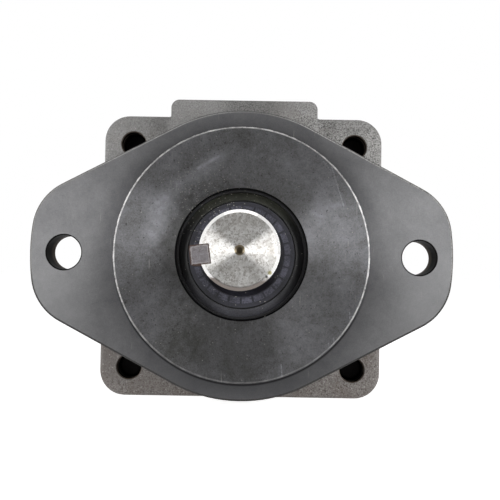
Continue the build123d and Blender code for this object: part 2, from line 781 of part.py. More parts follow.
with BuildPart() as cam_ring:
    with BuildSketch(station(ring_rear_y)):
        Circle(ring_radius)
        with BuildLine():
            contour = [polar(cam_radius(turn), cam_minor_angle + turn) for turn in range(0, 360, 10)]
            Spline(contour, periodic=True)
        make_face(mode=Mode.SUBTRACT)
        for angle in dowel_angles:
            with Locations(polar(dowel_circle_radius, angle)):
                Circle(dowel_radius, mode=Mode.SUBTRACT)
        for angle in screw_angles:
            with Locations(polar(dowel_circle_radius, angle)):
                Circle(cartridge_hole_radius, mode=Mode.SUBTRACT)
    extrude(amount=ring_width)
    ring_rims = edges().filter_by(GeomType.CIRCLE).sort_by(lambda e: -e.radius)[0:2]
    chamfer(ring_rims, length=plate_edge_chamfer)
cam_ring.part.label = "cam_ring"
export_step(cam_ring.part, "parts/cam_ring.step")


# ---- side plates, support plates and what ties the cartridge together ----------------------
def kidney_pair(middle_angle, radius, width, spread):
    """Two curved ports in the open sketch, opposite each other on one circle."""
    for turn in (middle_angle, middle_angle + 180.0):
        middle_line = Edge.make_circle(radius, start_angle=turn - spread / 2, end_angle=turn + spread / 2)
        SlotArc(middle_line, width, mode=Mode.SUBTRACT)


def cartridge_holes(screw_hole_radius):
    """Dowel holes and screw holes of a cartridge plate, cut in the open sketch."""
    for angle in dowel_angles:
        with Locations(polar(dowel_circle_radius, angle)):
            Circle(dowel_radius, mode=Mode.SUBTRACT)
    for angle in screw_angles:
        with Locations(polar(dowel_circle_radius, angle)):
            Circle(screw_hole_radius, mode=Mode.SUBTRACT)


for side, rear_y in (("outlet", ring_front_y), ("inlet", inlet_plate_front_y)):
    with BuildPart() as side_plate:
        with BuildSketch(station(rear_y)):
            Circle(side_plate_radius)
            Circle(shaft_passage_radius, mode=Mode.SUBTRACT)
            kidney_pair(outlet_kidney_angle, outlet_kidney_radius, outlet_kidney_width, kidney_spread)
            kidney_pair(inlet_kidney_angle, inlet_kidney_radius, inlet_kidney_width, kidney_spread)
            cartridge_holes(cartridge_hole_radius)
        extrude(amount=side_plate_thickness)
    side_plate.part.label = f"{side}_side_plate"
    export_step(side_plate.part, f"parts/{side}_side_plate.step")

with BuildPart() as outlet_support_plate:
    with BuildSketch(station(outlet_plate_rear_y)):
        Circle(ring_radius)
        kidney_pair(outlet_kidney_angle, outlet_kidney_radius, outlet_kidney_width, kidney_spread)
        cartridge_holes(cartridge_screw_radius)
    extrude(amount=support_plate_thickness)
    with BuildSketch(station(outlet_plate_front_y)):
        Circle(hub_radius)
    extrude(amount=outlet_plate_front_y - hub_front_y)
    chamfer(edges().group_by(Axis.Y)[0], length=plate_edge_chamfer)
    with BuildSketch(station(outlet_plate_rear_y)):
        Circle(shaft_passage_radius)
    extrude(amount=outlet_plate_rear_y - hub_front_y, mode=Mode.SUBTRACT)

    # grooves for the rim ring and for the hub ring with its backup ring
    with BuildSketch(Plane.XY):
        with Locations((rim_ring_radius, rim_groove_y + plate_ring_width / 2)):
            Rectangle(plate_ring_height, plate_ring_width)
        hub_groove_width = plate_ring_width + backup_ring_width
        with Locations((hub_ring_radius, hub_groove_y + hub_groove_width / 2)):
            Rectangle(plate_ring_height, hub_groove_width)
    revolve(axis=Axis.Y, mode=Mode.SUBTRACT)
outlet_support_plate.part.label = "outlet_support_plate"
export_step(outlet_support_plate.part, "parts/outlet_support_plate.step")

with BuildPart() as inlet_support_plate:
    with BuildSketch(station(inlet_plate_rear_y)):
        Circle(ring_radius)
        kidney_pair(inlet_kidney_angle, inlet_kidney_radius, inlet_kidney_width, kidney_spread)
        cartridge_holes(cartridge_hole_radius)
    extrude(amount=support_plate_thickness)
    with BuildSketch(station(tail_hub_rear_y)):
        Circle(tail_hub_radius)
    extrude(amount=tail_hub_rear_y - inlet_plate_rear_y)
    chamfer(edges().group_by(Axis.Y)[-1], length=plate_edge_chamfer)
    with BuildSketch(station(tail_hub_rear_y)):
        Circle(bushing_radius)
    extrude(amount=tail_hub_rear_y - inlet_plate_front_y, mode=Mode.SUBTRACT)
    with BuildSketch(station(inlet_plate_rear_y)):
        for angle in screw_angles:
            with Locations(polar(dowel_circle_radius, angle)):
                Circle(cartridge_screw_radius * 2)
    extrude(amount=screw_counterbore_depth, mode=Mode.SUBTRACT)
inlet_support_plate.part.label = "inlet_support_plate"
export_step(inlet_support_plate.part, "parts/inlet_support_plate.step")

with BuildPart() as rear_bushing:
    with BuildSketch(station(tail_hub_rear_y)):
        Circle(bushing_radius)
        Circle(tail_radius + bushing_clearance, mode=Mode.SUBTRACT)
    extrude(amount=tail_hub_rear_y - inlet_plate_front_y - sunk)
rear_bushing.part.label = "rear_bushing"
export_step(rear_bushing.part, "parts/rear_bushing.step")

with BuildPart() as dowel_pins:
    with BuildSketch(station(inlet_plate_rear_y)):
        for angle in dowel_angles:
            with Locations(polar(dowel_circle_radius, angle)):
                Circle(dowel_radius)
    extrude(amount=inlet_plate_rear_y - outlet_plate_front_y)
    chamfer(edges().filter_by(GeomType.CIRCLE), length=dowel_radius / 8)
dowel_pins.part.label = "dowel_pins"
export_step(dowel_pins.part, "parts/dowel_pins.step")

with BuildPart() as cartridge_screws:
    with BuildSketch(station(inlet_plate_rear_y - screw_counterbore_depth)):
        for angle in screw_angles:
            with Locations(polar(dowel_circle_radius, angle)):
                Circle(cartridge_screw_radius)
    extrude(amount=inlet_plate_rear_y - screw_counterbore_depth - outlet_plate_front_y - sunk)
    screw_head_sunk = 0.9 * screw_counterbore_depth
    with BuildSketch(station(inlet_plate_rear_y - 0.1 * screw_counterbore_depth)):
        for angle in screw_angles:
            with Locations(polar(dowel_circle_radius, angle)):
                Circle(cartridge_screw_radius * 1.9)
                RegularPolygon(cartridge_screw_radius * 0.9, 6, mode=Mode.SUBTRACT)
    extrude(amount=screw_head_sunk)
cartridge_screws.part.label = "cartridge_screws"
export_step(cartridge_screws.part, "parts/cartridge_screws.step")
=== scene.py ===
"""Hydraulic vane pump with a two-bolt flange, dressed for the studio.

Metres, +Z up, the shaft along Y with its keyed end towards -Y, origin at the centre of the
mounting face.
"""
import math

import bpy
from mathutils import Matrix, Vector


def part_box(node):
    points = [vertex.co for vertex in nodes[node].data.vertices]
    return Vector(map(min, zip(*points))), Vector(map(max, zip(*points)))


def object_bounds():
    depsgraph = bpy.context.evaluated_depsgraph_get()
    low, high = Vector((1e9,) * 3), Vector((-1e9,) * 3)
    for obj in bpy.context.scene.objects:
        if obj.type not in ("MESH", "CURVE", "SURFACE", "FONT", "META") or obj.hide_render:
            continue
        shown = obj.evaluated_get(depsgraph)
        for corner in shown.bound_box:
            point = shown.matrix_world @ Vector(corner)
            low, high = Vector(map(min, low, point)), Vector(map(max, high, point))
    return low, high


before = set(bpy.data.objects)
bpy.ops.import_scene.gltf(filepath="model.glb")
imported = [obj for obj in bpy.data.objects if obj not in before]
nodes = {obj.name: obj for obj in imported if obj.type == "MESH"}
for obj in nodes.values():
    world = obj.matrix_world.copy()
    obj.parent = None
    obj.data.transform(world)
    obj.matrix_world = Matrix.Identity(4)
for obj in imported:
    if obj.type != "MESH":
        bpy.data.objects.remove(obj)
cad_low, cad_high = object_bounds()


# ---- studio ------------------------------------------------------------------------------
# A white paper floor that the pump stands on, one large soft box on each side in front of it,
# a weaker one overhead and a faint even room. The camera looks at the shaft end from 0.34 m.
def linear(hex_colour):
    """sRGB hex to linear RGBA."""
    raw = [int(hex_colour[i : i + 2], 16) / 255 for i in (1, 3, 5)]
    return [c / 12.92 if c <= 0.04045 else ((c + 0.055) / 1.055) ** 2.4 for c in raw] + [1.0]


def add(tree, kind, links=None, **settings):
    """Adds a node with its settings; links gives an input a value or another node's output."""
    made = tree.nodes.new(kind)
    for name, value in settings.items():
        setattr(made, name, value)
    for key, value in (links or {}).items():
        if isinstance(value, bpy.types.NodeSocket):
            tree.links.new(value, made.inputs[key])
        else:
            made.inputs[key].default_value = value
    return made


def new_material(name):
    """An empty node material, its tree and its output node."""
    material = bpy.data.materials.new(name)
    material.use_nodes = True
    material.node_tree.nodes.clear()
    return material, material.node_tree, add(material.node_tree, "ShaderNodeOutputMaterial")


scene = bpy.context.scene
scene.view_settings.view_transform = "Standard"

camera_yaw, camera_pitch, camera_roll = (math.radians(turn) for turn in (0.11, 1.78, 0.94))
forward = Vector(
    (
        math.sin(camera_yaw) * math.cos(camera_pitch),
        math.cos(camera_yaw) * math.cos(camera_pitch),
        math.sin(camera_pitch),
    )
)
level_right = Vector((math.cos(camera_yaw), -math.sin(camera_yaw), 0))
level_up = level_right.cross(forward)
right = math.cos(camera_roll) * level_right + math.sin(camera_roll) * level_up
up = -math.sin(camera_roll) * level_right + math.cos(camera_roll) * level_up
camera_data = bpy.data.cameras.new("camera")
camera_data.sensor_width = 36.0
camera_data.lens = 48.06
camera = bpy.data.objects.new("camera", camera_data)
camera.matrix_world = Matrix((right, up, -forward)).transposed().to_4x4()
camera.location = (0.00353, -0.3394, -0.00793)
scene.collection.objects.link(camera)
scene.camera = camera

lamp_target = Vector((0, 0.02, 0))


def soft_box(name, place, width, height, power):
    """A rectangular lamp that faces the pump."""
    lamp = bpy.data.lights.new(name, "AREA")
    lamp.shape, lamp.size, lamp.size_y, lamp.energy = "RECTANGLE", width, height, power
    holder = bpy.data.objects.new(name, lamp)
    holder.location = place
    holder.rotation_euler = (lamp_target - Vector(place)).to_track_quat("-Z", "Y").to_euler()
    scene.collection.objects.link(holder)


soft_box("left_soft_box", (-0.95, -0.80, 0.18), 0.6, 0.9, 12.0)
soft_box("right_soft_box", (0.95, -0.80, 0.16), 0.6, 0.9, 14.4)
soft_box("top_soft_box", (0.0, -0.30, 1.3), 1.2, 0.6, 2.6)

# white where the camera or glass looks, and where metal mirrors the paper behind and beside the
# pump; a dim room ahead of it
room_light = 0.20
world = bpy.data.worlds.new("studio_room")
scene.world = world
world.use_nodes = True
room = world.node_tree
room.nodes.clear()
rays = add(room, "ShaderNodeLightPath")
straight = add(
    room,
    "ShaderNodeMath",
    {0: rays.outputs["Is Camera Ray"], 1: rays.outputs["Is Transmission Ray"]},
    operation="MAXIMUM",
)
way = add(room, "ShaderNodeSeparateXYZ", {0: add(room, "ShaderNodeTexCoord").outputs["Generated"]})
behind = add(
    room, "ShaderNodeMapRange", {"Value": way.outputs["Y"], "From Min": -0.25, "From Max": 0.1}
)
mirrored = add(
    room,
    "ShaderNodeMath",
    {0: rays.outputs["Is Glossy Ray"], 1: behind.outputs[0]},
    operation="MULTIPLY",
)
white = add(
    room, "ShaderNodeMath", {0: straight.outputs[0], 1: mirrored.outputs[0]}, operation="MAXIMUM"
)
strength = add(room, "ShaderNodeMapRange", {"Value": white.outputs[0], "To Min": room_light})
backdrop = add(
    room, "ShaderNodeBackground", {"Color": (1, 1, 1, 1), "Strength": strength.outputs[0]}
)
add(room, "ShaderNodeOutputWorld", {"Surface": backdrop.outputs[0]})

# the lamps light the paper to a part of white, and its glow makes up the rest where the camera
# looks or metal mirrors it; ahead of the pump it isn't mirrored
floor_half, floor_z, paper_glow = 6.0, cad_low.z, 0.84
floor_mesh = bpy.data.meshes.new("floor")
floor_mesh.from_pydata(
    [(x * floor_half, y * floor_half, floor_z) for x, y in ((-1, -1), (1, -1), (1, 1), (-1, 1))],
    [],
    [(0, 1, 2, 3)],
)
floor = bpy.data.objects.new("floor", floor_mesh)
scene.collection.objects.link(floor)
floor_paper, tree, output = new_material("white_paper_floor")
seen = add(tree, "ShaderNodeLightPath")
spot = add(tree, "ShaderNodeSeparateXYZ", {0: add(tree, "ShaderNodeTexCoord").outputs["Object"]})
beside = add(
    tree, "ShaderNodeMapRange", {"Value": spot.outputs["Y"], "From Min": -0.20, "From Max": 0.05}
)
mirrored = add(
    tree,
    "ShaderNodeMath",
    {0: seen.outputs["Is Glossy Ray"], 1: beside.outputs[0]},
    operation="MULTIPLY",
)
seen_or_mirrored = add(
    tree,
    "ShaderNodeMath",
    {0: seen.outputs["Is Camera Ray"], 1: mirrored.outputs[0]},
    operation="MAXIMUM",
)
paper = add(tree, "ShaderNodeBsdfDiffuse", {"Color": linear("#F4F4F4")})
glow_strength = add(
    tree, "ShaderNodeMath", {0: seen_or_mirrored.outputs[0], 1: paper_glow}, operation="MULTIPLY"
)
glow = add(
    tree, "ShaderNodeEmission", {"Color": (1, 1, 1, 1), "Strength": glow_strength.outputs[0]}
)
both = add(tree, "ShaderNodeAddShader", {0: paper.outputs[0], 1: glow.outputs[0]})
tree.links.new(both.outputs[0], output.inputs["Surface"])
floor_mesh.materials.append(floor_paper)


# ---- front housing -----------------------------------------------------------------------
# Flange, pilot, square joint flange and outlet pad in one grey-iron sand casting. Flange and
# pilot are faced on a lathe, the pad is milled, and the whole is phosphated dark grey.
def paint(node, material):
    """Gives a CAD node its material."""
    mesh = nodes[node].data
    mesh.materials.clear()
    mesh.materials.append(material)


def two_tones(tree, pattern, dark, light):
    """A finish that goes from its dark tone to its light one as a pattern rises; dark and light
    each give the pattern's level there, and the colour."""
    share = add(
        tree, "ShaderNodeMapRange", {"Value": pattern, "From Min": dark[0], "From Max": light[0]}
    )
    tones = {"Factor": share.outputs[0], "A": linear(dark[1]), "B": linear(light[1])}
    return add(tree, "ShaderNodeMix", tones, data_type="RGBA").outputs["Result"]


def layered(tree, finish, *layers):
    """A finish under its stains, films and rubbed places, from the lowest to the uppermost. Each
    layer gives the share that it covers from place to place, and its colour."""
    for share, tint in layers:
        covered = {"Factor": share, "A": finish, "B": linear(tint)}
        finish = add(tree, "ShaderNodeMix", covered, data_type="RGBA").outputs["Result"]
    return finish


def cast_skin(tree, place, oil):
    """Sand-cast grey iron, phosphated: dull, with a leathery grain between fine beads of sand,
    light flecks painted as glints where a crystal faces out, painted shade along the flange's
    chamfer, and rust where water stands. oil is the share of the black oil that lies over it."""
    # flecks are drawn coarser: real crystals of 0.2 mm wouldn't show
    grain_size, bead_size, crystal_size = 0.0008, 0.000606, 0.0005882
    # over how far the strength of the grain changes, and the width of a stain
    patch_size, stain_size = 0.03448, 0.01205
    grain = add(
        tree,
        "ShaderNodeTexNoise",
        {"Vector": place, "Scale": 1 / grain_size, "Detail": 4.0, "Roughness": 0.7},
    )
    beads = add(
        tree, "ShaderNodeTexVoronoi", {"Vector": place, "Scale": 1 / bead_size}, feature="SMOOTH_F1"
    )
    patches = add(
        tree, "ShaderNodeTexNoise", {"Vector": place, "Scale": 1 / patch_size, "Detail": 3.0}
    )
    stain = add(
        tree,
        "ShaderNodeTexNoise",
        {"Vector": place, "Scale": 1 / stain_size, "Detail": 6.0, "Roughness": 0.65},
    )
    skin = add(
        tree,
        "ShaderNodeMath",
        {0: beads.outputs["Distance"], 1: -0.55, 2: grain.outputs["Fac"]},
        operation="MULTIPLY_ADD",
    )
    # smoother towards the upper left, where the mould was blackened more thickly
    lean = add(tree, "ShaderNodeVectorMath", {0: place, 1: (-2.2, 0, 1.7)}, operation="DOT_PRODUCT")
    leaning = add(
        tree,
        "ShaderNodeMath",
        {0: lean.outputs["Value"], 1: patches.outputs["Fac"]},
        operation="ADD",
    )
    smooth = add(
        tree,
        "ShaderNodeMapRange",
        {"Value": leaning.outputs[0], "From Min": 0.46, "From Max": 0.66, "To Max": 0.70},
    )
    # rust brown where water stands: blotches, and everywhere on the lower half
    axis = add(tree, "ShaderNodeSeparateXYZ", {0: place})
    low_down = add(
        tree,
        "ShaderNodeMapRange",
        {"Value": axis.outputs["Z"], "From Min": 0.0, "From Max": -0.05, "To Max": 0.50},
    )
    worst = add(tree, "ShaderNodeMath", {0: low_down.outputs[0], 1: 0.22}, operation="ADD")
    rust = add(
        tree,
        "ShaderNodeMapRange",
        {
            "Value": stain.outputs["Fac"],
            "From Min": 0.48,
            "From Max": 0.72,
            "To Min": low_down.outputs[0],
            "To Max": worst.outputs[0],
        },
    )
    # one crystal in ten faces out, painted light as a glint
    crystals = add(tree, "ShaderNodeTexVoronoi", {"Vector": place, "Scale": 1 / crystal_size})
    fleck_glints = add(
        tree,
        "ShaderNodeMapRange",
        {"Value": crystals.outputs["Color"], "From Min": 0.84, "From Max": 0.95, "To Max": 0.5},
    )
    # painted shade: a dark line along the outer half of the flange's chamfer, and over all of the
    # chamfer on the lower edge
    chamfer_end, chamfer_half = 0.0013, 0.0009
    ahead = add(
        tree,
        "ShaderNodeMapRange",
        {"Value": axis.outputs["Y"], "From Min": chamfer_end + 0.0005, "From Max": chamfer_end},
    )
    outer = add(
        tree,
        "ShaderNodeMapRange",
        {"Value": axis.outputs["Y"], "From Min": chamfer_half - 0.0004, "From Max": chamfer_half},
    )
    ragged = add(
        tree, "ShaderNodeMath", {0: outer.outputs[0], 1: stain.outputs["Fac"]}, operation="MULTIPLY"
    )
    under = add(
        tree,
        "ShaderNodeMapRange",
        {"Value": axis.outputs["Z"], "From Min": -0.005, "From Max": -0.020},
    )
    lined = add(
        tree,
        "ShaderNodeMath",
        {0: ragged.outputs[0], 1: 1.5, 2: under.outputs[0]},
        operation="MULTIPLY_ADD",
        use_clamp=True,
    )
    painted_chamfer_shade = add(
        tree, "ShaderNodeMath", {0: lined.outputs[0], 1: ahead.outputs[0]}, operation="MULTIPLY"
    )
    finish = layered(
        tree,
        two_tones(tree, skin.outputs[0], (0.06, "#4F4E4C"), (0.38, "#ABAAA8")),
        (smooth.outputs[0], "#848382"),
        (rust.outputs[0], "#594C44"),
        (fleck_glints.outputs[0], "#BDBBB8"),
        (painted_chamfer_shade.outputs[0], "#0D0908"),
        (oil, "#070606"),
    )
    # the grain stands about 0.2 mm high, and a crystal's face is glossier than the skin round it
    relief = add(
        tree, "ShaderNodeBump", {"Strength": 1.0, "Distance": 0.00035, "Height": skin.outputs[0]}
    )
    roughness = add(
        tree, "ShaderNodeMapRange", {"Value": fleck_glints.outputs[0], "To Min": 0.56, "To Max": 0.38}
    )
    return add(
        tree,
        "ShaderNodeBsdfPrincipled",
        {
            "Base Color": finish,
            "Metallic": 0.2,
            "Roughness": roughness.outputs[0],
            "Normal": relief.outputs[0],
        },
    )


def stroke(tree, flat, start, end, half_width):
    """1 along a straight rub mark on the face, falling to 0 at its half width: the distance from
    the nearest point of the segment between start and end."""
    a, d = Vector((start[0], 0, start[1])), Vector((end[0] - start[0], 0, end[1] - start[1]))
    off = add(tree, "ShaderNodeVectorMath", {0: flat, 1: a}, operation="SUBTRACT")
    along = add(
        tree,
        "ShaderNodeVectorMath",
        {0: off.outputs[0], 1: d / d.length_squared},
        operation="DOT_PRODUCT",
    )
    held = add(tree, "ShaderNodeClamp", {"Value": along.outputs["Value"]})
    foot = add(tree, "ShaderNodeVectorMath", {0: d, "Scale": held.outputs[0]}, operation="SCALE")
    gap = add(
        tree, "ShaderNodeVectorMath", {0: off.outputs[0], 1: foot.outputs[0]}, operation="DISTANCE"
    )
    return add(
        tree,
        "ShaderNodeMapRange",
        {
            "Value": gap.outputs["Value"],
            "From Min": 0.0,
            "From Max": half_width,
            "To Min": 1.0,
            "To Max": 0.0,
        },
        interpolation_type="SMOOTHSTEP",
    ).outputs[0]


def dust(tree, place, flat, share):
    """Grey specks of 0.4 mm in a 1.2 mm mosaic: the share of cells that hold one, and far more
    round a place at the upper left of the seal."""
    cell_size, spilt_at = 0.001205, (-0.018, 0, 0.028)
    cells = add(tree, "ShaderNodeTexVoronoi", {"Vector": place, "Scale": 1 / cell_size})
    pick = add(tree, "ShaderNodeSeparateColor", {0: cells.outputs["Color"]})
    gap = add(tree, "ShaderNodeVectorMath", {0: flat, 1: spilt_at}, operation="DISTANCE")
    rare = add(
        tree,
        "ShaderNodeMapRange",
        {
            "Value": gap.outputs["Value"],
            "From Min": 0.008,
            "From Max": 0.026,
            "To Min": 0.15,
            "To Max": 1.0 - share,
        },
    )
    chosen = add(
        tree, "ShaderNodeMath", {0: pick.outputs[0], 1: rare.outputs[0]}, operation="GREATER_THAN"
    )
    # each speck as bright as its cell says
    shine = add(
        tree, "ShaderNodeMapRange", {"Value": pick.outputs[1], "To Min": 0.25, "To Max": 0.95}
    )
    inside = add(
        tree,
        "ShaderNodeMapRange",
        {
            "Value": cells.outputs["Distance"],
            "From Min": 0.12,
            "From Max": 0.26,
            "To Min": 1.0,
            "To Max": 0.0,
        },
    )
    lit = add(
        tree, "ShaderNodeMath", {0: shine.outputs[0], 1: inside.outputs[0]}, operation="MULTIPLY"
    )
    specks = add(
        tree, "ShaderNodeMath", {0: chosen.outputs[0], 1: lit.outputs[0]}, operation="MULTIPLY"
    )
    return specks.outputs[0]


# the turned and milled faces, the bore round the seal, and the drilled holes
pilot_radius, pad_top_z = 0.0635, 0.0843
seal_bore_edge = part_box("seal_case")[1].x + 0.0007
bolt_x, bolt_hole_radius = 0.09049, 0.00875
screw_x, screw_z, screw_hole_radius = 0.0620, 0.0623, 0.00675

material, tree, output = new_material("phosphated_grey_iron_faced_on_a_lathe")
place = add(tree, "ShaderNodeTexCoord").outputs["Object"]
axis = add(tree, "ShaderNodeSeparateXYZ", {0: place})
flat = add(tree, "ShaderNodeVectorMath", {0: place, 1: (1, 0, 1)}, operation="MULTIPLY").outputs[0]
radius = add(tree, "ShaderNodeVectorMath", {0: flat}, operation="LENGTH").outputs["Value"]
folded = add(tree, "ShaderNodeVectorMath", {0: flat}, operation="ABSOLUTE").outputs[0]

# walls of the drilled holes: two for the mounting bolts, four tapped ones in the corners, painted
# dark as painted shade; the dark reaches a little past each wall, over the broken edge
bolt_hole_rim, screw_hole_rim = 0.00062, 0.0004
bolt_gap = add(tree, "ShaderNodeVectorMath", {0: folded, 1: (bolt_x, 0, 0)}, operation="DISTANCE")
in_bolt_hole = add(
    tree,
    "ShaderNodeMath",
    {0: bolt_gap.outputs["Value"], 1: bolt_hole_radius + bolt_hole_rim},
    operation="LESS_THAN",
)
screw_gap = add(
    tree, "ShaderNodeVectorMath", {0: folded, 1: (screw_x, 0, screw_z)}, operation="DISTANCE"
)
in_screw_hole = add(
    tree,
    "ShaderNodeMath",
    {0: screw_gap.outputs["Value"], 1: screw_hole_radius + screw_hole_rim},
    operation="LESS_THAN",
)
hole_wall = add(
    tree,
    "ShaderNodeMath",
    {0: in_bolt_hole.outputs[0], 1: in_screw_hole.outputs[0]},
    operation="MAXIMUM",
)
# painted glints on the thread crests, and painted light in the bolt holes, which grow lighter to
# the rear
thread_pitch = 0.00231
turns = add(
    tree, "ShaderNodeMath", {0: axis.outputs["Y"], 1: 1 / thread_pitch}, operation="MULTIPLY"
)
phase = add(tree, "ShaderNodeMath", {0: turns.outputs[0], 1: 1.0}, operation="PINGPONG")
crest_glint = add(
    tree,
    "ShaderNodeMapRange",
    {"Value": phase.outputs[0], "From Min": 0.62, "From Max": 0.92, "To Max": 0.26},
)
rearward_light = add(
    tree,
    "ShaderNodeMapRange",
    {"Value": axis.outputs["Y"], "From Min": 0.008, "From Max": 0.018, "To Max": 0.50},
)
wall_light = add(
    tree,
    "ShaderNodeMix",
    {"Factor": in_bolt_hole.outputs[0], "A": crest_glint.outputs[0], "B": rearward_light.outputs[0]},
    data_type="FLOAT",
)
wall_tone = two_tones(tree, wall_light.outputs["Result"], (0.0, "#060505"), (0.5, "#7A6E64"))
painted_shade_wall = add(
    tree,
    "ShaderNodeBsdfPrincipled",
    {"Base Color": wall_tone, "Roughness": 0.7, "Specular IOR Level": 0.15},
)

# cast skin with a smooth dark patch of oil in the middle of the pad's front, and a thin film
# beside it
pad_gap = add(tree, "ShaderNodeVectorMath", {0: flat, 1: (0.004, 0, 0.084)}, operation="DISTANCE")
oil_patch = add(
    tree,
    "ShaderNodeMapRange",
    {
        "Value": pad_gap.outputs["Value"],
        "From Min": 0.010,
        "From Max": 0.026,
        "To Min": 0.50,
        "To Max": 0.0,
    },
)
on_pad_front = add(
    tree,
    "ShaderNodeMapRange",
    {"Value": axis.outputs["Z"], "From Min": 0.066, "From Max": 0.072, "To Max": 0.20},
)
film = add(
    tree,
    "ShaderNodeMath",
    {0: oil_patch.outputs[0], 1: on_pad_front.outputs[0]},
    operation="MAXIMUM",
)
cast = cast_skin(tree, place, film.outputs[0])

# which skin: the flange face and the pilot ahead of it are turned, the pad's top is milled
on_flange = add(
    tree,
    "ShaderNodeMapRange",
    {"Value": axis.outputs["Y"], "From Min": 0.00010, "From Max": 0.00005},
)
on_pad = add(
    tree,
    "ShaderNodeMapRange",
    {"Value": axis.outputs["Z"], "From Min": pad_top_z - 0.0002, "From Max": pad_top_z - 0.0001},
)
machined = add(
    tree, "ShaderNodeMath", {0: on_flange.outputs[0], 1: on_pad.outputs[0]}, operation="MAXIMUM"
)
on_pilot = add(
    tree,
    "ShaderNodeMapRange",
    {"Value": axis.outputs["Y"], "From Min": -0.0001, "From Max": -0.0004},
).outputs[0]

# phosphate crystals on the turned faces: clouds, mottle and grain, the last drawn coarser, for
# real crystals of 0.02 mm wouldn't show
cloud_size, mottle_size, grain_size = 0.02083, 0.002941, 0.0007143
cloud = add(
    tree,
    "ShaderNodeTexNoise",
    {"Vector": place, "Scale": 1 / cloud_size, "Detail": 7.0, "Roughness": 0.62, "Distortion": 0.5},
)
mottle = add(
    tree,
    "ShaderNodeTexNoise",
    {"Vector": place, "Scale": 1 / mottle_size, "Detail": 6.0, "Roughness": 0.75},
)
fine = add(
    tree,
    "ShaderNodeTexNoise",
    {"Vector": place, "Scale": 1 / grain_size, "Detail": 2.0, "Roughness": 0.8},
)
spread = add(
    tree,
    "ShaderNodeMix",
    {"Factor": 0.40, "A": cloud.outputs["Fac"], "B": mottle.outputs["Fac"]},
    data_type="FLOAT",
).outputs["Result"]
mixed = add(
    tree,
    "ShaderNodeMix",
    {"Factor": 0.30, "A": spread, "B": fine.outputs["Fac"]},
    data_type="FLOAT",
).outputs["Result"]

# flange: painted shade, violet, in the corner round the pilot; painted light on the ears, more so
# low down; and painted shade towards the lower edge, with a little at the upper one
painted_corner_shade = add(
    tree,
    "ShaderNodeMapRange",
    {
        "Value": radius,
        "From Min": pilot_radius,
        "From Max": pilot_radius + 0.012,
        "To Min": 0.27,
        "To Max": 0.0,
    },
    interpolation_type="SMOOTHSTEP",
)
side = add(tree, "ShaderNodeSeparateXYZ", {0: folded})
ear = add(
    tree,
    "ShaderNodeMapRange",
    {"Value": side.outputs["X"], "From Min": 0.068, "From Max": 0.092},
    interpolation_type="SMOOTHSTEP",
)
ear_low = add(
    tree,
    "ShaderNodeMapRange",
    {
        "Value": axis.outputs["Z"],
        "From Min": 0.020,
        "From Max": -0.030,
        "To Min": 0.04,
        "To Max": 0.34,
    },
)
# painted light: the ears are made lighter, more so low down
painted_ear_light = add(
    tree, "ShaderNodeMath", {0: ear.outputs[0], 1: ear_low.outputs[0]}, operation="MULTIPLY"
)
# painted shade: darker towards the lower edge of the flange, a little towards the upper one
shade_below = add(
    tree,
    "ShaderNodeMapRange",
    {"Value": axis.outputs["Z"], "From Min": -0.045, "From Max": -0.068, "To Max": 0.52},
    interpolation_type="SMOOTHSTEP",
)
shade_above = add(
    tree,
    "ShaderNodeMapRange",
    {"Value": axis.outputs["Z"], "From Min": 0.050, "From Max": 0.068, "To Max": 0.18},
    interpolation_type="SMOOTHSTEP",
)
painted_edge_shade = add(
    tree, "ShaderNodeMath", {0: shade_below.outputs[0], 1: shade_above.outputs[0]}, operation="MAXIMUM"
)
flange_tone = layered(
    tree,
    two_tones(tree, mixed, (0.38, "#6B6B6D"), (0.62, "#868687")),
    (painted_corner_shade.outputs[0], "#3B3A40"),
    (painted_ear_light.outputs[0], "#ABABAC"),
    (painted_edge_shade.outputs[0], "#454548"),
)

# pilot: dark patches of oil left of the seal and at the bottom, each with its place, how far it
# reaches and how dark it is; the mottle makes its edge ragged by up to 12 mm
pilot_tone = two_tones(tree, mixed, (0.38, "#535351"), (0.62, "#7F7F83"))
for patch, reach, depth in (((-0.010, 0, 0.001), 0.033, 0.50), ((-0.004, 0, -0.046), 0.024, 0.36)):
    gap = add(tree, "ShaderNodeVectorMath", {0: flat, 1: patch}, operation="DISTANCE")
    ragged = add(
        tree,
        "ShaderNodeMath",
        {0: mottle.outputs["Fac"], 1: 0.012, 2: gap.outputs["Value"]},
        operation="MULTIPLY_ADD",
    )
    oily = add(
        tree,
        "ShaderNodeMapRange",
        {
            "Value": ragged.outputs[0],
            "From Min": reach - 0.004,
            "From Max": reach + 0.014,
            "To Min": depth,
            "To Max": 0.0,
        },
        interpolation_type="SMOOTHSTEP",
    )
    pilot_tone = layered(tree, pilot_tone, (oily.outputs[0], "#31312F"))
turned_tone = add(
    tree, "ShaderNodeMix", {"Factor": on_pilot, "A": flange_tone, "B": pilot_tone}, data_type="RGBA"
).outputs["Result"]

# soft marks of painted sheen on the pilot, broken by the mottle: from, to, half width and strength
sheen_and_scratches = 0.0
painted_sheen_marks = (
    ((-0.045, 0.023), (-0.012, 0.048), 0.0065, 0.60),
    ((-0.022, 0.042), (-0.0125, 0.0478), 0.0015, 0.85),
    ((-0.044, 0.010), (-0.038, 0.022), 0.0085, 0.70),
    ((0.036, 0.020), (0.046, 0.026), 0.0080, 0.40),
    ((0.028, -0.042), (0.048, -0.016), 0.0200, 0.26),
    ((0.028, 0.040), (0.045, 0.015), 0.0180, 0.24),
)
for start, end, half_width, depth in painted_sheen_marks:
    mark = stroke(tree, flat, start, end, half_width)
    sheen_and_scratches = add(
        tree, "ShaderNodeMath", {0: mark, 1: depth, 2: sheen_and_scratches}, operation="MULTIPLY_ADD"
    ).outputs[0]
sheen_and_scratches = add(
    tree, "ShaderNodeMath", {0: sheen_and_scratches, 1: mottle.outputs["Fac"]}, operation="MULTIPLY"
).outputs[0]
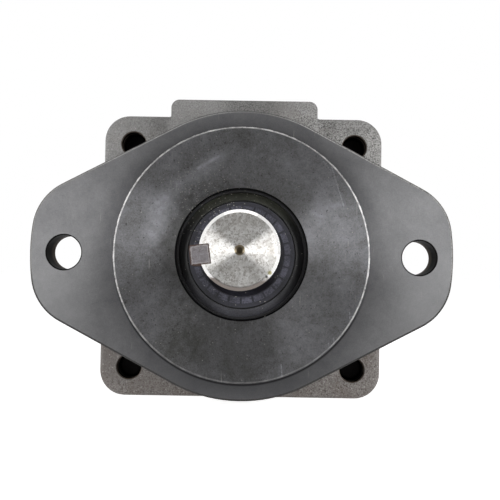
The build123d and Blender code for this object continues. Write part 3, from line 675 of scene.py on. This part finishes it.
# thin scratches near its rim, broken by the grain
scratch = 0.0
thin_marks = (
    ((0.0436, 0.0440), (0.0498, 0.0245), 0.0006, 0.45),
    ((0.0395, 0.0465), (0.0430, 0.0420), 0.0006, 0.40),
    ((0.0533, -0.0273), (0.0536, -0.0327), 0.0004, 1.0),
    ((0.0545, -0.0293), (0.0546, -0.0312), 0.0004, 1.0),
    ((0.0431, -0.0427), (0.0436, -0.0456), 0.0004, 0.8),
    ((0.0455, -0.0400), (0.0459, -0.0432), 0.0004, 0.6),
    ((0.0202, -0.0533), (0.0208, -0.0592), 0.0004, 0.9),
)
for start, end, half_width, depth in thin_marks:
    mark = stroke(tree, flat, start, end, half_width)
    scratch = add(
        tree, "ShaderNodeMath", {0: mark, 1: depth, 2: scratch}, operation="MULTIPLY_ADD"
    ).outputs[0]
broken = add(
    tree,
    "ShaderNodeMapRange",
    {"Value": fine.outputs["Fac"], "From Min": 0.40, "From Max": 0.58, "To Min": 0.2},
)
sheen_and_scratches = add(
    tree, "ShaderNodeMath", {0: scratch, 1: broken.outputs[0], 2: sheen_and_scratches}, operation="MULTIPLY_ADD"
).outputs[0]
sheen_and_scratches = add(
    tree, "ShaderNodeMath", {0: sheen_and_scratches, 1: on_pilot}, operation="MULTIPLY", use_clamp=True
).outputs[0]

# fine scratches up and down the faces; each is half a wave of the noise
scratch_width, scratch_depth, scratch_length = 0.0003333, 0.001667, 0.006667
waves = (0.5 / scratch_width, 0.5 / scratch_depth, 0.5 / scratch_length)
combed = add(tree, "ShaderNodeVectorMath", {0: place, 1: waves}, operation="MULTIPLY")
scratch_noise = add(
    tree, "ShaderNodeTexNoise", {"Vector": combed.outputs[0], "Scale": 1.0, "Detail": 1.0}
)
scratches = add(
    tree,
    "ShaderNodeMapRange",
    {"Value": scratch_noise.outputs["Fac"], "From Min": 0.74, "From Max": 0.80, "To Max": 0.6},
)

# the pilot's rim: a dark band over its chamfer, and inside that a bright line, nicked, partly bare
# worn iron and partly painted highlight, the painted highlight fading towards the bottom
nick_size, rim_inset, rim_half_width = 0.003333, 0.00113, 0.00043
rim_noise = add(
    tree,
    "ShaderNodeTexNoise",
    {"Vector": place, "Scale": 1 / nick_size, "Detail": 5.0, "Roughness": 0.75},
)
rim_gap = add(
    tree,
    "ShaderNodeMath",
    {0: rim_noise.outputs["Fac"], 1: -0.0005, 2: radius},
    operation="MULTIPLY_ADD",
)
rim_line = add(
    tree,
    "ShaderNodeMath",
    {0: rim_gap.outputs[0], 1: pilot_radius - rim_inset, 2: rim_half_width},
    operation="COMPARE",
)
rim_share = add(
    tree,
    "ShaderNodeMapRange",
    {"Value": rim_noise.outputs["Fac"], "From Min": 0.40, "From Max": 0.56, "To Min": 0.35},
)
rim_highlight_height = add(
    tree,
    "ShaderNodeMapRange",
    {"Value": axis.outputs["Z"], "From Min": -0.052, "From Max": -0.025, "To Min": 0.18},
)
rim = add(
    tree, "ShaderNodeMath", {0: rim_line.outputs[0], 1: rim_share.outputs[0]}, operation="MULTIPLY"
)
rim = add(
    tree, "ShaderNodeMath", {0: rim.outputs[0], 1: rim_highlight_height.outputs[0]}, operation="MULTIPLY"
)
rim_wear_and_highlight = add(
    tree, "ShaderNodeMath", {0: rim.outputs[0], 1: on_pilot}, operation="MULTIPLY"
).outputs[0]
past_rim = add(
    tree,
    "ShaderNodeMapRange",
    {
        "Value": radius,
        "From Min": pilot_radius - 0.0008,
        "From Max": pilot_radius - 0.0005,
        "To Max": 0.65,
    },
)
past_rim = add(
    tree, "ShaderNodeMath", {0: past_rim.outputs[0], 1: on_pilot}, operation="MULTIPLY"
).outputs[0]

# painted shadow: a black line on the flange in the lower half of the corner round the pilot
corner_shadow_width, corner_shadow_end = 0.0024, 0.0031
corner_line = add(
    tree,
    "ShaderNodeMapRange",
    {
        "Value": radius,
        "From Min": pilot_radius + corner_shadow_width,
        "From Max": pilot_radius + corner_shadow_end,
        "To Min": 1.0,
        "To Max": 0.0,
    },
)
corner_low = add(
    tree,
    "ShaderNodeMapRange",
    {"Value": axis.outputs["Z"], "From Min": -0.010, "From Max": -0.040, "To Max": 0.85},
)
painted_corner_shadow = add(
    tree,
    "ShaderNodeMath",
    {0: corner_line.outputs[0], 1: corner_low.outputs[0]},
    operation="MULTIPLY",
)
off_pilot = add(tree, "ShaderNodeMath", {0: 1.0, 1: on_pilot}, operation="SUBTRACT")
painted_corner_shadow = add(
    tree,
    "ShaderNodeMath",
    {0: painted_corner_shadow.outputs[0], 1: off_pilot.outputs[0]},
    operation="MULTIPLY",
)

# the bore round the seal, painted near black as painted shade in the recess; dark pits, and dust
# that lies on the pilot and round the seal
in_bore = add(tree, "ShaderNodeMath", {0: radius, 1: seal_bore_edge}, operation="LESS_THAN")
pit_size = 0.001111
pit_noise = add(tree, "ShaderNodeTexNoise", {"Vector": place, "Scale": 1 / pit_size, "Detail": 2.0})
pits = add(
    tree,
    "ShaderNodeMapRange",
    {"Value": pit_noise.outputs["Fac"], "From Min": 0.34, "From Max": 0.28, "To Max": 0.55},
)
pits = add(tree, "ShaderNodeMath", {0: pits.outputs[0], 1: on_pilot}, operation="MULTIPLY")
specks = dust(tree, place, flat, 0.05)
specks = add(tree, "ShaderNodeMath", {0: specks, 1: on_pilot}, operation="MULTIPLY").outputs[0]

face_tone = layered(
    tree,
    turned_tone,
    # painted sheen and real scratches on the pilot
    (sheen_and_scratches, "#A5A6AC"),
    (scratches.outputs[0], "#A9A8A4"),
    (past_rim, "#2B2A2D"),
    (rim_wear_and_highlight, "#D2D1D0"),
    (painted_corner_shadow.outputs[0], "#151417"),
    (in_bore.outputs[0], "#0E0E10"),
    (pits.outputs[0], "#2C2B2A"),
    (specks, "#BDBBB4"),
)

# tool rings, 2 micrometres deep, drawn deeper so that they show; worn iron is smoother and dust
# is rougher than the phosphate
ring_spacing = 0.0004
ring_at = add(tree, "ShaderNodeMath", {0: radius, 1: 1 / ring_spacing}, operation="MULTIPLY")
rings = add(
    tree,
    "ShaderNodeTexNoise",
    {"W": ring_at.outputs[0], "Scale": 1.0, "Detail": 2.0},
    noise_dimensions="1D",
)
surface = add(
    tree,
    "ShaderNodeMath",
    {0: mottle.outputs["Fac"], 1: 1.5, 2: rings.outputs["Fac"]},
    operation="MULTIPLY_ADD",
)
relief = add(
    tree, "ShaderNodeBump", {"Strength": 0.35, "Distance": 0.00005, "Height": surface.outputs[0]}
)
metallic = add(tree, "ShaderNodeMapRange", {"Value": on_pilot, "To Min": 0.62, "To Max": 0.85})
plain_roughness = add(
    tree, "ShaderNodeMapRange", {"Value": on_pilot, "To Min": 0.58, "To Max": 0.55}
)
worn_roughness = add(
    tree,
    "ShaderNodeMath",
    {0: rim_wear_and_highlight, 1: -0.14, 2: plain_roughness.outputs[0]},
    operation="MULTIPLY_ADD",
)
roughness = add(
    tree,
    "ShaderNodeMath",
    {0: specks, 1: 0.4, 2: worn_roughness.outputs[0]},
    operation="MULTIPLY_ADD",
)
round_the_axis = add(tree, "ShaderNodeTangent", direction_type="RADIAL", axis="Y")
turned = add(
    tree,
    "ShaderNodeBsdfPrincipled",
    {
        "Base Color": face_tone,
        "Metallic": metallic.outputs[0],
        "Roughness": roughness.outputs[0],
        "Anisotropic": 0.9,
        "Anisotropic Rotation": 0.25,
        "Tangent": round_the_axis.outputs[0],
        "Normal": relief.outputs[0],
    },
)
skin = add(
    tree, "ShaderNodeMixShader", {0: machined.outputs[0], 1: cast.outputs[0], 2: turned.outputs[0]}
)
holed = add(
    tree,
    "ShaderNodeMixShader",
    {0: hole_wall.outputs[0], 1: skin.outputs[0], 2: painted_shade_wall.outputs[0]},
)
tree.links.new(holed.outputs[0], output.inputs["Surface"])
paint("front_housing", material)


# ---- inlet cover -------------------------------------------------------------------------
# The rear casting, held to the front one by four screws: the same cast skin on its flange and
# barrel, and a milled face on the inlet pad.
cover_pad_top_z = 0.090
material, tree, output = new_material("phosphated_grey_iron_as_cast")
place = add(tree, "ShaderNodeTexCoord").outputs["Object"]
# the skin's patterns are taken from another place, so that they don't repeat the housing's
other_spot = add(
    tree, "ShaderNodeVectorMath", {0: place, 1: (0.37, 0.11, 0.23)}, operation="ADD"
).outputs[0]
axis = add(tree, "ShaderNodeSeparateXYZ", {0: place})
cast = cast_skin(tree, other_spot, 0.0)
cloud_size, mill_radius, mill_feed = 0.02083, 0.09, 0.0008
cloud = add(
    tree,
    "ShaderNodeTexNoise",
    {"Vector": other_spot, "Scale": 1 / cloud_size, "Detail": 7.0, "Roughness": 0.62},
)
milled_tone = two_tones(tree, cloud.outputs["Fac"], (0.36, "#6E7173"), (0.64, "#888B8D"))
# cutter marks of the face mill: wide arcs, one for each step of its feed
far_point = add(
    tree,
    "ShaderNodeVectorMath",
    {0: place, 1: (mill_radius, 0.10, cover_pad_top_z)},
    operation="DISTANCE",
)
arc_at = add(
    tree, "ShaderNodeMath", {0: far_point.outputs["Value"], 1: 1 / mill_feed}, operation="MULTIPLY"
)
arcs = add(
    tree,
    "ShaderNodeTexNoise",
    {"W": arc_at.outputs[0], "Scale": 1.0, "Detail": 2.0},
    noise_dimensions="1D",
)
relief = add(
    tree, "ShaderNodeBump", {"Strength": 0.4, "Distance": 0.00005, "Height": arcs.outputs["Fac"]}
)
milled = add(
    tree,
    "ShaderNodeBsdfPrincipled",
    {"Base Color": milled_tone, "Metallic": 0.6, "Roughness": 0.45, "Normal": relief.outputs[0]},
)
on_pad = add(
    tree,
    "ShaderNodeMapRange",
    {
        "Value": axis.outputs["Z"],
        "From Min": cover_pad_top_z - 0.0002,
        "From Max": cover_pad_top_z - 0.0001,
    },
)
skin = add(
    tree, "ShaderNodeMixShader", {0: on_pad.outputs[0], 1: cast.outputs[0], 2: milled.outputs[0]}
)
tree.links.new(skin.outputs[0], output.inputs["Surface"])
paint("inlet_cover", material)


# ---- shaft -------------------------------------------------------------------------------
# Alloy steel, turned and ground, bare and lightly oiled. The end face keeps the rings of the
# facing tool, so light from the sides runs across it in two fans.
def bare_steel(name, light, dark, roughness, anisotropic, stain_size, finish=None):
    """Bare metal: stains between two tones, hairline marks and the tool's rings round the shaft
    axis, both drawn coarser so that they show. finish may change the colour and the roughness
    from place to place."""
    hair_size, ring_spacing = 0.0004545, 0.00025
    material, tree, output = new_material(name)
    place = add(tree, "ShaderNodeTexCoord").outputs["Object"]
    stain = add(
        tree,
        "ShaderNodeTexNoise",
        {
            "Vector": place,
            "Scale": 1 / stain_size,
            "Detail": 6.0,
            "Roughness": 0.62,
            "Distortion": 1.4,
        },
    ).outputs["Fac"]
    colour = two_tones(tree, stain, (0.36, dark), (0.60, light))
    rough = add(
        tree,
        "ShaderNodeMapRange",
        {
            "Value": stain,
            "From Min": 0.3,
            "From Max": 0.7,
            "To Min": roughness + 0.04,
            "To Max": roughness - 0.03,
        },
    ).outputs[0]
    if finish:
        colour, rough = finish(tree, place, stain, colour, rough)
    hairs = add(
        tree, "ShaderNodeTexNoise", {"Vector": place, "Scale": 1 / hair_size, "Detail": 2.0}
    )
    flat = add(tree, "ShaderNodeVectorMath", {0: place, 1: (1, 0, 1)}, operation="MULTIPLY")
    radius = add(tree, "ShaderNodeVectorMath", {0: flat.outputs[0]}, operation="LENGTH")
    ring_at = add(
        tree,
        "ShaderNodeMath",
        {0: radius.outputs["Value"], 1: 1 / ring_spacing},
        operation="MULTIPLY",
    )
    rings = add(
        tree, "ShaderNodeTexNoise", {"W": ring_at.outputs[0], "Scale": 1.0}, noise_dimensions="1D"
    )
    surface = add(
        tree,
        "ShaderNodeMath",
        {0: hairs.outputs["Fac"], 1: 0.8, 2: rings.outputs["Fac"]},
        operation="MULTIPLY_ADD",
    )
    relief = add(
        tree, "ShaderNodeBump", {"Strength": 0.2, "Distance": 0.00002, "Height": surface.outputs[0]}
    )
    round_the_axis = add(tree, "ShaderNodeTangent", direction_type="RADIAL", axis="Y")
    shader = add(
        tree,
        "ShaderNodeBsdfPrincipled",
        {
            "Base Color": colour,
            "Metallic": 1.0,
            "Roughness": rough,
            "Anisotropic": anisotropic,
            "Anisotropic Rotation": 0.25,
            "Tangent": round_the_axis.outputs[0],
            "Normal": relief.outputs[0],
        },
    )
    tree.links.new(shader.outputs[0], output.inputs["Surface"])
    return material


shaft_radius, shaft_chamfer, shaft_end_y, drilling_radius = 0.015875, 0.0013, -0.082, 0.0023


def faced_end(tree, place, stain, colour, rough):
    """The shaft's end: brass-coloured oil in the centre drilling, a chamfer painted near white as a
    painted highlight, and a brown film of rust preventive that has run to the lower edge."""
    axis = add(tree, "ShaderNodeSeparateXYZ", {0: place})
    flat = add(
        tree, "ShaderNodeVectorMath", {0: place, 1: (1, 0, 1)}, operation="MULTIPLY"
    ).outputs[0]
    radius = add(tree, "ShaderNodeVectorMath", {0: flat}, operation="LENGTH").outputs["Value"]
    # curled marks of a wiping cloth, a tone darker and browner than the steel
    curl_size = 0.001205
    curls = add(
        tree,
        "ShaderNodeTexNoise",
        {"Vector": place, "Scale": 1 / curl_size, "Detail": 3.0, "Distortion": 1.6},
    )
    marks = add(
        tree,
        "ShaderNodeMapRange",
        {"Value": curls.outputs["Fac"], "From Min": 0.50, "From Max": 0.62, "To Max": 0.60},
    )
    near = add(tree, "ShaderNodeMath", {0: radius, 1: drilling_radius}, operation="LESS_THAN")
    sunk = add(
        tree,
        "ShaderNodeMath",
        {0: axis.outputs["Y"], 1: shaft_end_y + 0.00005},
        operation="GREATER_THAN",
    )
    drilled = add(
        tree, "ShaderNodeMath", {0: near.outputs[0], 1: sunk.outputs[0]}, operation="MULTIPLY"
    )
    # chamfer, painted near white as a painted highlight: from its inner edge outwards, and no
    # further back than it reaches
    outside = add(
        tree,
        "ShaderNodeMath",
        {0: radius, 1: shaft_radius - shaft_chamfer + 0.00003},
        operation="GREATER_THAN",
    )
    ahead = add(
        tree,
        "ShaderNodeMath",
        {0: axis.outputs["Y"], 1: shaft_end_y + shaft_chamfer},
        operation="LESS_THAN",
    )
    chamfer = add(
        tree, "ShaderNodeMath", {0: outside.outputs[0], 1: ahead.outputs[0]}, operation="MULTIPLY"
    ).outputs[0]
    rough = add(
        tree, "ShaderNodeMath", {0: chamfer, 1: -0.24, 2: rough}, operation="MULTIPLY_ADD"
    ).outputs[0]
    # film: the height, made ragged by the stains, and near the edge only
    film_start, film_full = 0.0020, 0.0012
    level = add(
        tree, "ShaderNodeMath", {0: stain, 1: 0.006, 2: axis.outputs["Z"]}, operation="MULTIPLY_ADD"
    )
    low = add(
        tree,
        "ShaderNodeMapRange",
        {"Value": level.outputs[0], "From Min": -0.0065, "From Max": -0.0090, "To Max": 0.85},
    )
    at_edge = add(
        tree,
        "ShaderNodeMapRange",
        {
            "Value": radius,
            "From Min": shaft_radius - film_start,
            "From Max": shaft_radius - film_full,
        },
    )
    film = add(
        tree, "ShaderNodeMath", {0: low.outputs[0], 1: at_edge.outputs[0]}, operation="MULTIPLY"
    )
    colour = layered(
        tree,
        colour,
        (marks.outputs[0], "#978D84"),
        (drilled.outputs[0], "#998D77"),
        (chamfer, "#FBFAF8"),
        (film.outputs[0], "#57483E"),
    )
    # a drop of yellow preservative with a dark pit beside it
    drops = (((0.0118, 0, -0.0086), 0.0011, "#A8A06A"), ((0.0106, 0, -0.0102), 0.0007, "#1C1A18"))
    for spot, reach, tint in drops:
        gap = add(tree, "ShaderNodeVectorMath", {0: flat, 1: spot}, operation="DISTANCE")
        drop = add(
            tree,
            "ShaderNodeMapRange",
            {
                "Value": gap.outputs["Value"],
                "From Min": 0.4 * reach,
                "From Max": reach,
                "To Min": 0.9,
                "To Max": 0.0,
            },
        )
        colour = layered(tree, colour, (drop.outputs[0], tint))
    return colour, rough


# ground steel: bright silver, a little warm, with long soft highlights along the shaft
paint(
    "shaft", bare_steel("ground_shaft_steel", "#FFFEFC", "#D0CDC8", 0.355, 1.0, 0.004762, faced_end)
)


# ---- shaft key ---------------------------------------------------------------------------
# A square key of cold-drawn bar, 7.94 mm, sawn to length: dull lilac grey on its end, with
# brown rust along the edges. It lies in its seat and stands 3.5 mm out of the shaft.
key_turn, key_middle, key_half = math.radians(187.3), 0.01543, 0.00397


def rusty_edges(tree, place, stain, colour, rough):
    """Rust that starts 0.6 mm inside the edges of the key's square section, ragged by noise, and
    a thin light line where the burr was filed off."""
    outward = (math.cos(key_turn), 0, math.sin(key_turn))
    across = (-math.sin(key_turn), 0, math.cos(key_turn))
    reach = add(tree, "ShaderNodeVectorMath", {0: place, 1: outward}, operation="DOT_PRODUCT")
    reach = add(
        tree, "ShaderNodeMath", {0: reach.outputs["Value"], 1: key_middle}, operation="SUBTRACT"
    )
    reach = add(tree, "ShaderNodeMath", {0: reach.outputs[0]}, operation="ABSOLUTE")
    aside = add(tree, "ShaderNodeVectorMath", {0: place, 1: across}, operation="DOT_PRODUCT")
    aside = add(tree, "ShaderNodeMath", {0: aside.outputs["Value"]}, operation="ABSOLUTE")
    off = add(
        tree, "ShaderNodeMath", {0: reach.outputs[0], 1: aside.outputs[0]}, operation="MAXIMUM"
    )
    ragged = add(
        tree, "ShaderNodeMath", {0: stain, 1: 0.0016, 2: off.outputs[0]}, operation="MULTIPLY_ADD"
    )
    filed = add(
        tree,
        "ShaderNodeMath",
        {0: ragged.outputs[0], 1: key_half + 0.00010, 2: 0.00018},
        operation="COMPARE",
    )
    filed = add(tree, "ShaderNodeMath", {0: filed.outputs[0], 1: 0.30}, operation="MULTIPLY")
    rust = add(
        tree,
        "ShaderNodeMapRange",
        {
            "Value": ragged.outputs[0],
            "From Min": key_half + 0.0002,
            "From Max": key_half + 0.0006,
            "To Max": 0.9,
        },
    )
    colour = layered(tree, colour, (filed.outputs[0], "#C9C3C0"), (rust.outputs[0], "#4E3A2F"))
    return colour, rough


# sawn and rusted steel: matt, with no drawn-out highlight
paint(
    "shaft_key",
    bare_steel("sawn_key_steel", "#8D8A8E", "#757070", 0.62, 0.0, 0.001923, rusty_edges),
)


# ---- shaft seal --------------------------------------------------------------------------
# Nitrile rubber moulded on a pressed steel case, with a garter spring round the lip: satin
# black with a bluish film of oil, its raised segments rubbed a little lighter, dust on top.
def black_rubber(name, tint, film_tint, roughness, dusty, zones=None):
    """Moulded rubber: the mould's grain, an oil film that changes slowly, and the share of dust
    cells that hold a speck. zones may change the colour from place to place."""
    grain_size, film_size = 0.000625, 0.01111
    material, tree, output = new_material(name)
    place = add(tree, "ShaderNodeTexCoord").outputs["Object"]
    flat = add(
        tree, "ShaderNodeVectorMath", {0: place, 1: (1, 0, 1)}, operation="MULTIPLY"
    ).outputs[0]
    grain = add(
        tree,
        "ShaderNodeTexNoise",
        {"Vector": place, "Scale": 1 / grain_size, "Detail": 3.0, "Roughness": 0.8},
    )
    film = add(
        tree,
        "ShaderNodeTexNoise",
        {"Vector": place, "Scale": 1 / film_size, "Detail": 5.0, "Roughness": 0.65},
    )
    blend = add(
        tree,
        "ShaderNodeMix",
        {"Factor": 0.55, "A": film.outputs["Fac"], "B": grain.outputs["Fac"]},
        data_type="FLOAT",
    ).outputs["Result"]
    colour = two_tones(tree, blend, (0.38, tint), (0.64, film_tint))
    if zones:
        colour = zones(tree, place, flat, blend, colour)
    specks = dust(tree, place, flat, dusty)
    colour = layered(tree, colour, (specks, "#A5A39B"))
    relief = add(
        tree,
        "ShaderNodeBump",
        {"Strength": 0.4, "Distance": 0.00008, "Height": grain.outputs["Fac"]},
    )
    rough = add(
        tree,
        "ShaderNodeMapRange",
        {"Value": film.outputs["Fac"], "To Min": roughness - 0.1, "To Max": roughness + 0.12},
    )
    shader = add(
        tree,
        "ShaderNodeBsdfPrincipled",
        {"Base Color": colour, "Roughness": rough.outputs[0], "Normal": relief.outputs[0]},
    )
    tree.links.new(shader.outputs[0], output.inputs["Surface"])
    return material


seal_low, seal_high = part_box("seal_rubber")
dish_width, groove_width = 0.0041, 0.0006
dish_inner = seal_high.x - dish_width
segment_top_y = seal_low.y


def dish_and_collar(tree, place, flat, blend, colour):
    """The dished rim is black at its sides, olive above, and lighter grey below, where the grey is
    a painted reflection; the groove inside it is painted black as painted shade; the collar is
    violet with its raised segments a tone lighter."""
    axis = add(tree, "ShaderNodeSeparateXYZ", {0: place})
    radius = add(tree, "ShaderNodeVectorMath", {0: flat}, operation="LENGTH").outputs["Value"]
    olive = two_tones(tree, blend, (0.38, "#171813"), (0.64, "#37382F"))
    painted_reflection_grey = two_tones(tree, blend, (0.38, "#2A2A2E"), (0.64, "#4B4B51"))
    side_black = two_tones(tree, blend, (0.38, "#040405"), (0.64, "#0D0D10"))
    above = add(
        tree,
        "ShaderNodeMapRange",
        {"Value": axis.outputs["Z"], "From Min": 0.012, "From Max": 0.024},
    )
    below = add(
        tree,
        "ShaderNodeMapRange",
        {"Value": axis.outputs["Z"], "From Min": -0.010, "From Max": -0.024},
    )
    dish = add(
        tree,
        "ShaderNodeMix",
        {"Factor": above.outputs[0], "A": side_black, "B": olive},
        data_type="RGBA",
    ).outputs["Result"]
    dish = add(
        tree,
        "ShaderNodeMix",
        {"Factor": below.outputs[0], "A": dish, "B": painted_reflection_grey},
        data_type="RGBA",
    ).outputs["Result"]
    on_dish = add(tree, "ShaderNodeMath", {0: radius, 1: dish_inner}, operation="GREATER_THAN")
    colour = add(
        tree,
        "ShaderNodeMix",
        {"Factor": on_dish.outputs[0], "A": colour, "B": dish},
        data_type="RGBA",
    ).outputs["Result"]
    # painted shade: the groove is painted black
    groove_middle = dish_inner - groove_width / 2
    in_groove = add(
        tree,
        "ShaderNodeMath",
        {0: radius, 1: groove_middle, 2: groove_width / 2 + 0.0001},
        operation="COMPARE",
    )
    raised = add(
        tree,
        "ShaderNodeMapRange",
        {
            "Value": axis.outputs["Y"],
            "From Min": segment_top_y + 0.0002,
            "From Max": segment_top_y + 0.0001,
        },
    )
    rubbed = add(
        tree,
        "ShaderNodeMapRange",
        {"Value": blend, "From Min": 0.42, "From Max": 0.60, "To Max": 0.75},
    )
    rubbed = add(
        tree, "ShaderNodeMath", {0: raised.outputs[0], 1: rubbed.outputs[0]}, operation="MULTIPLY"
    )
    return layered(tree, colour, (in_groove.outputs[0], "#060607"), (rubbed.outputs[0], "#575765"))


paint(
    "seal_rubber",
    black_rubber("moulded_nitrile_rubber", "#121218", "#2D2D37", 0.46, 0.08, dish_and_collar),
)
# the same rubber over the steel case, a tone blacker and with less dust
paint("seal_case", black_rubber("rubber_skin_on_the_seal_case", "#0B0B0D", "#1A1A1E", 0.5, 0.06))
# drawn or pressed low-carbon steel: mid grey, satin
pressed_steel = bare_steel("pressed_seal_steel", "#8F8F90", "#636365", 0.4, 0.3, 0.003333)
paint("garter_spring", pressed_steel)


# ---- ring seals --------------------------------------------------------------------------
# Nitrile rings in the joint and on the pressure plate, with one white backup ring of PTFE.

# soaked in oil, so blacker and glossier than the seal; the PTFE is waxy and off-white
ring_rubber = black_rubber("oiled_nitrile_ring", "#141416", "#1F1F22", 0.38, 0.0)
for ring in ("cover_joint_ring", "plate_rim_ring", "hub_ring"):
    paint(ring, ring_rubber)
paint("hub_backup_ring", black_rubber("skived_ptfe_ring", "#BDBBB3", "#D2D0C8", 0.5, 0.0))


# ---- screws ------------------------------------------------------------------------------
# Hexagon screws of the cover and socket screws of the cartridge: heat-treated steel with black
# oxide, a little oil in the grain.
screw_front_y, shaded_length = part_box("cover_screws")[0].y, 0.020


def shaded_screw_tips(tree, place, stain, colour, rough):
    """The front end of each screw, at the bottom of a tapped hole, painted near black as painted
    shade.
    """
    axis = add(tree, "ShaderNodeSeparateXYZ", {0: place})
    deep = add(
        tree,
        "ShaderNodeMapRange",
        {
            "Value": axis.outputs["Y"],
            "From Min": screw_front_y + shaded_length,
            "From Max": screw_front_y + shaded_length - 0.002,
        },
    )
    return layered(tree, colour, (deep.outputs[0], "#0D0C0C")), rough


# black oxide: keeps the steel's satin gloss but takes its brightness
paint(
    "cover_screws",
    bare_steel("black_oxide_screw_steel", "#343436", "#1B1B1D", 0.42, 0.2, 0.002857, shaded_screw_tips),
)
paint(
    "cartridge_screws", bare_steel("black_oxide_steel", "#343436", "#1B1B1D", 0.42, 0.2, 0.002857)
)


# ---- ball bearing and its rings ----------------------------------------------------------
# Bearing steel races and balls, ground and honed; cage pressed from strip; the two rings that
# hold the bearing are blued spring steel.

# honed: nearly a mirror, with highlights drawn out round the race
honed_steel = bare_steel("honed_bearing_steel", "#CECDCB", "#B2B1AF", 0.22, 0.6, 0.005556)
for piece in ("bearing_outer_race", "bearing_inner_race", "bearing_balls"):
    paint(piece, honed_steel)
paint("bearing_cage", pressed_steel)
# blued: dark with a cold tinge from the oxide that tempering leaves
blued_steel = bare_steel("blued_spring_steel", "#33363C", "#202227", 0.4, 0.2, 0.003333)
for piece in ("bearing_retaining_ring", "shaft_snap_ring"):
    paint(piece, blued_steel)


# ---- cartridge ---------------------------------------------------------------------------
# Cam ring, rotor, vanes and inserts of hardened tool steel, lapped on their faces; support
# plates of iron, ground; side plates and rear bushing of bronze, turned.

# lapped: light grey with an even, soft sheen
lapped_steel = bare_steel("lapped_tool_steel", "#C9C8C6", "#A9A8A6", 0.28, 0.5, 0.003333)
for piece in ("cam_ring", "rotor", "vane_inserts", "dowel_pins"):
    paint(piece, lapped_steel)
for number in range(1, 13):
    paint(f"vane_{number}", lapped_steel)
# ground iron: the graphite in it makes it greyer and duller than the steel
ground_iron = bare_steel("ground_plate_iron", "#A8A7A5", "#8B8A88", 0.38, 0.5, 0.003846)
for piece in ("inlet_support_plate", "outlet_support_plate"):
    paint(piece, ground_iron)
# turned bronze: warm brown gold, with rings of the tool
bronze = bare_steel("turned_bronze", "#B98A4E", "#94693A", 0.33, 0.6, 0.004167)
for piece in ("outlet_side_plate", "inlet_side_plate", "rear_bushing"):
    paint(piece, bronze)
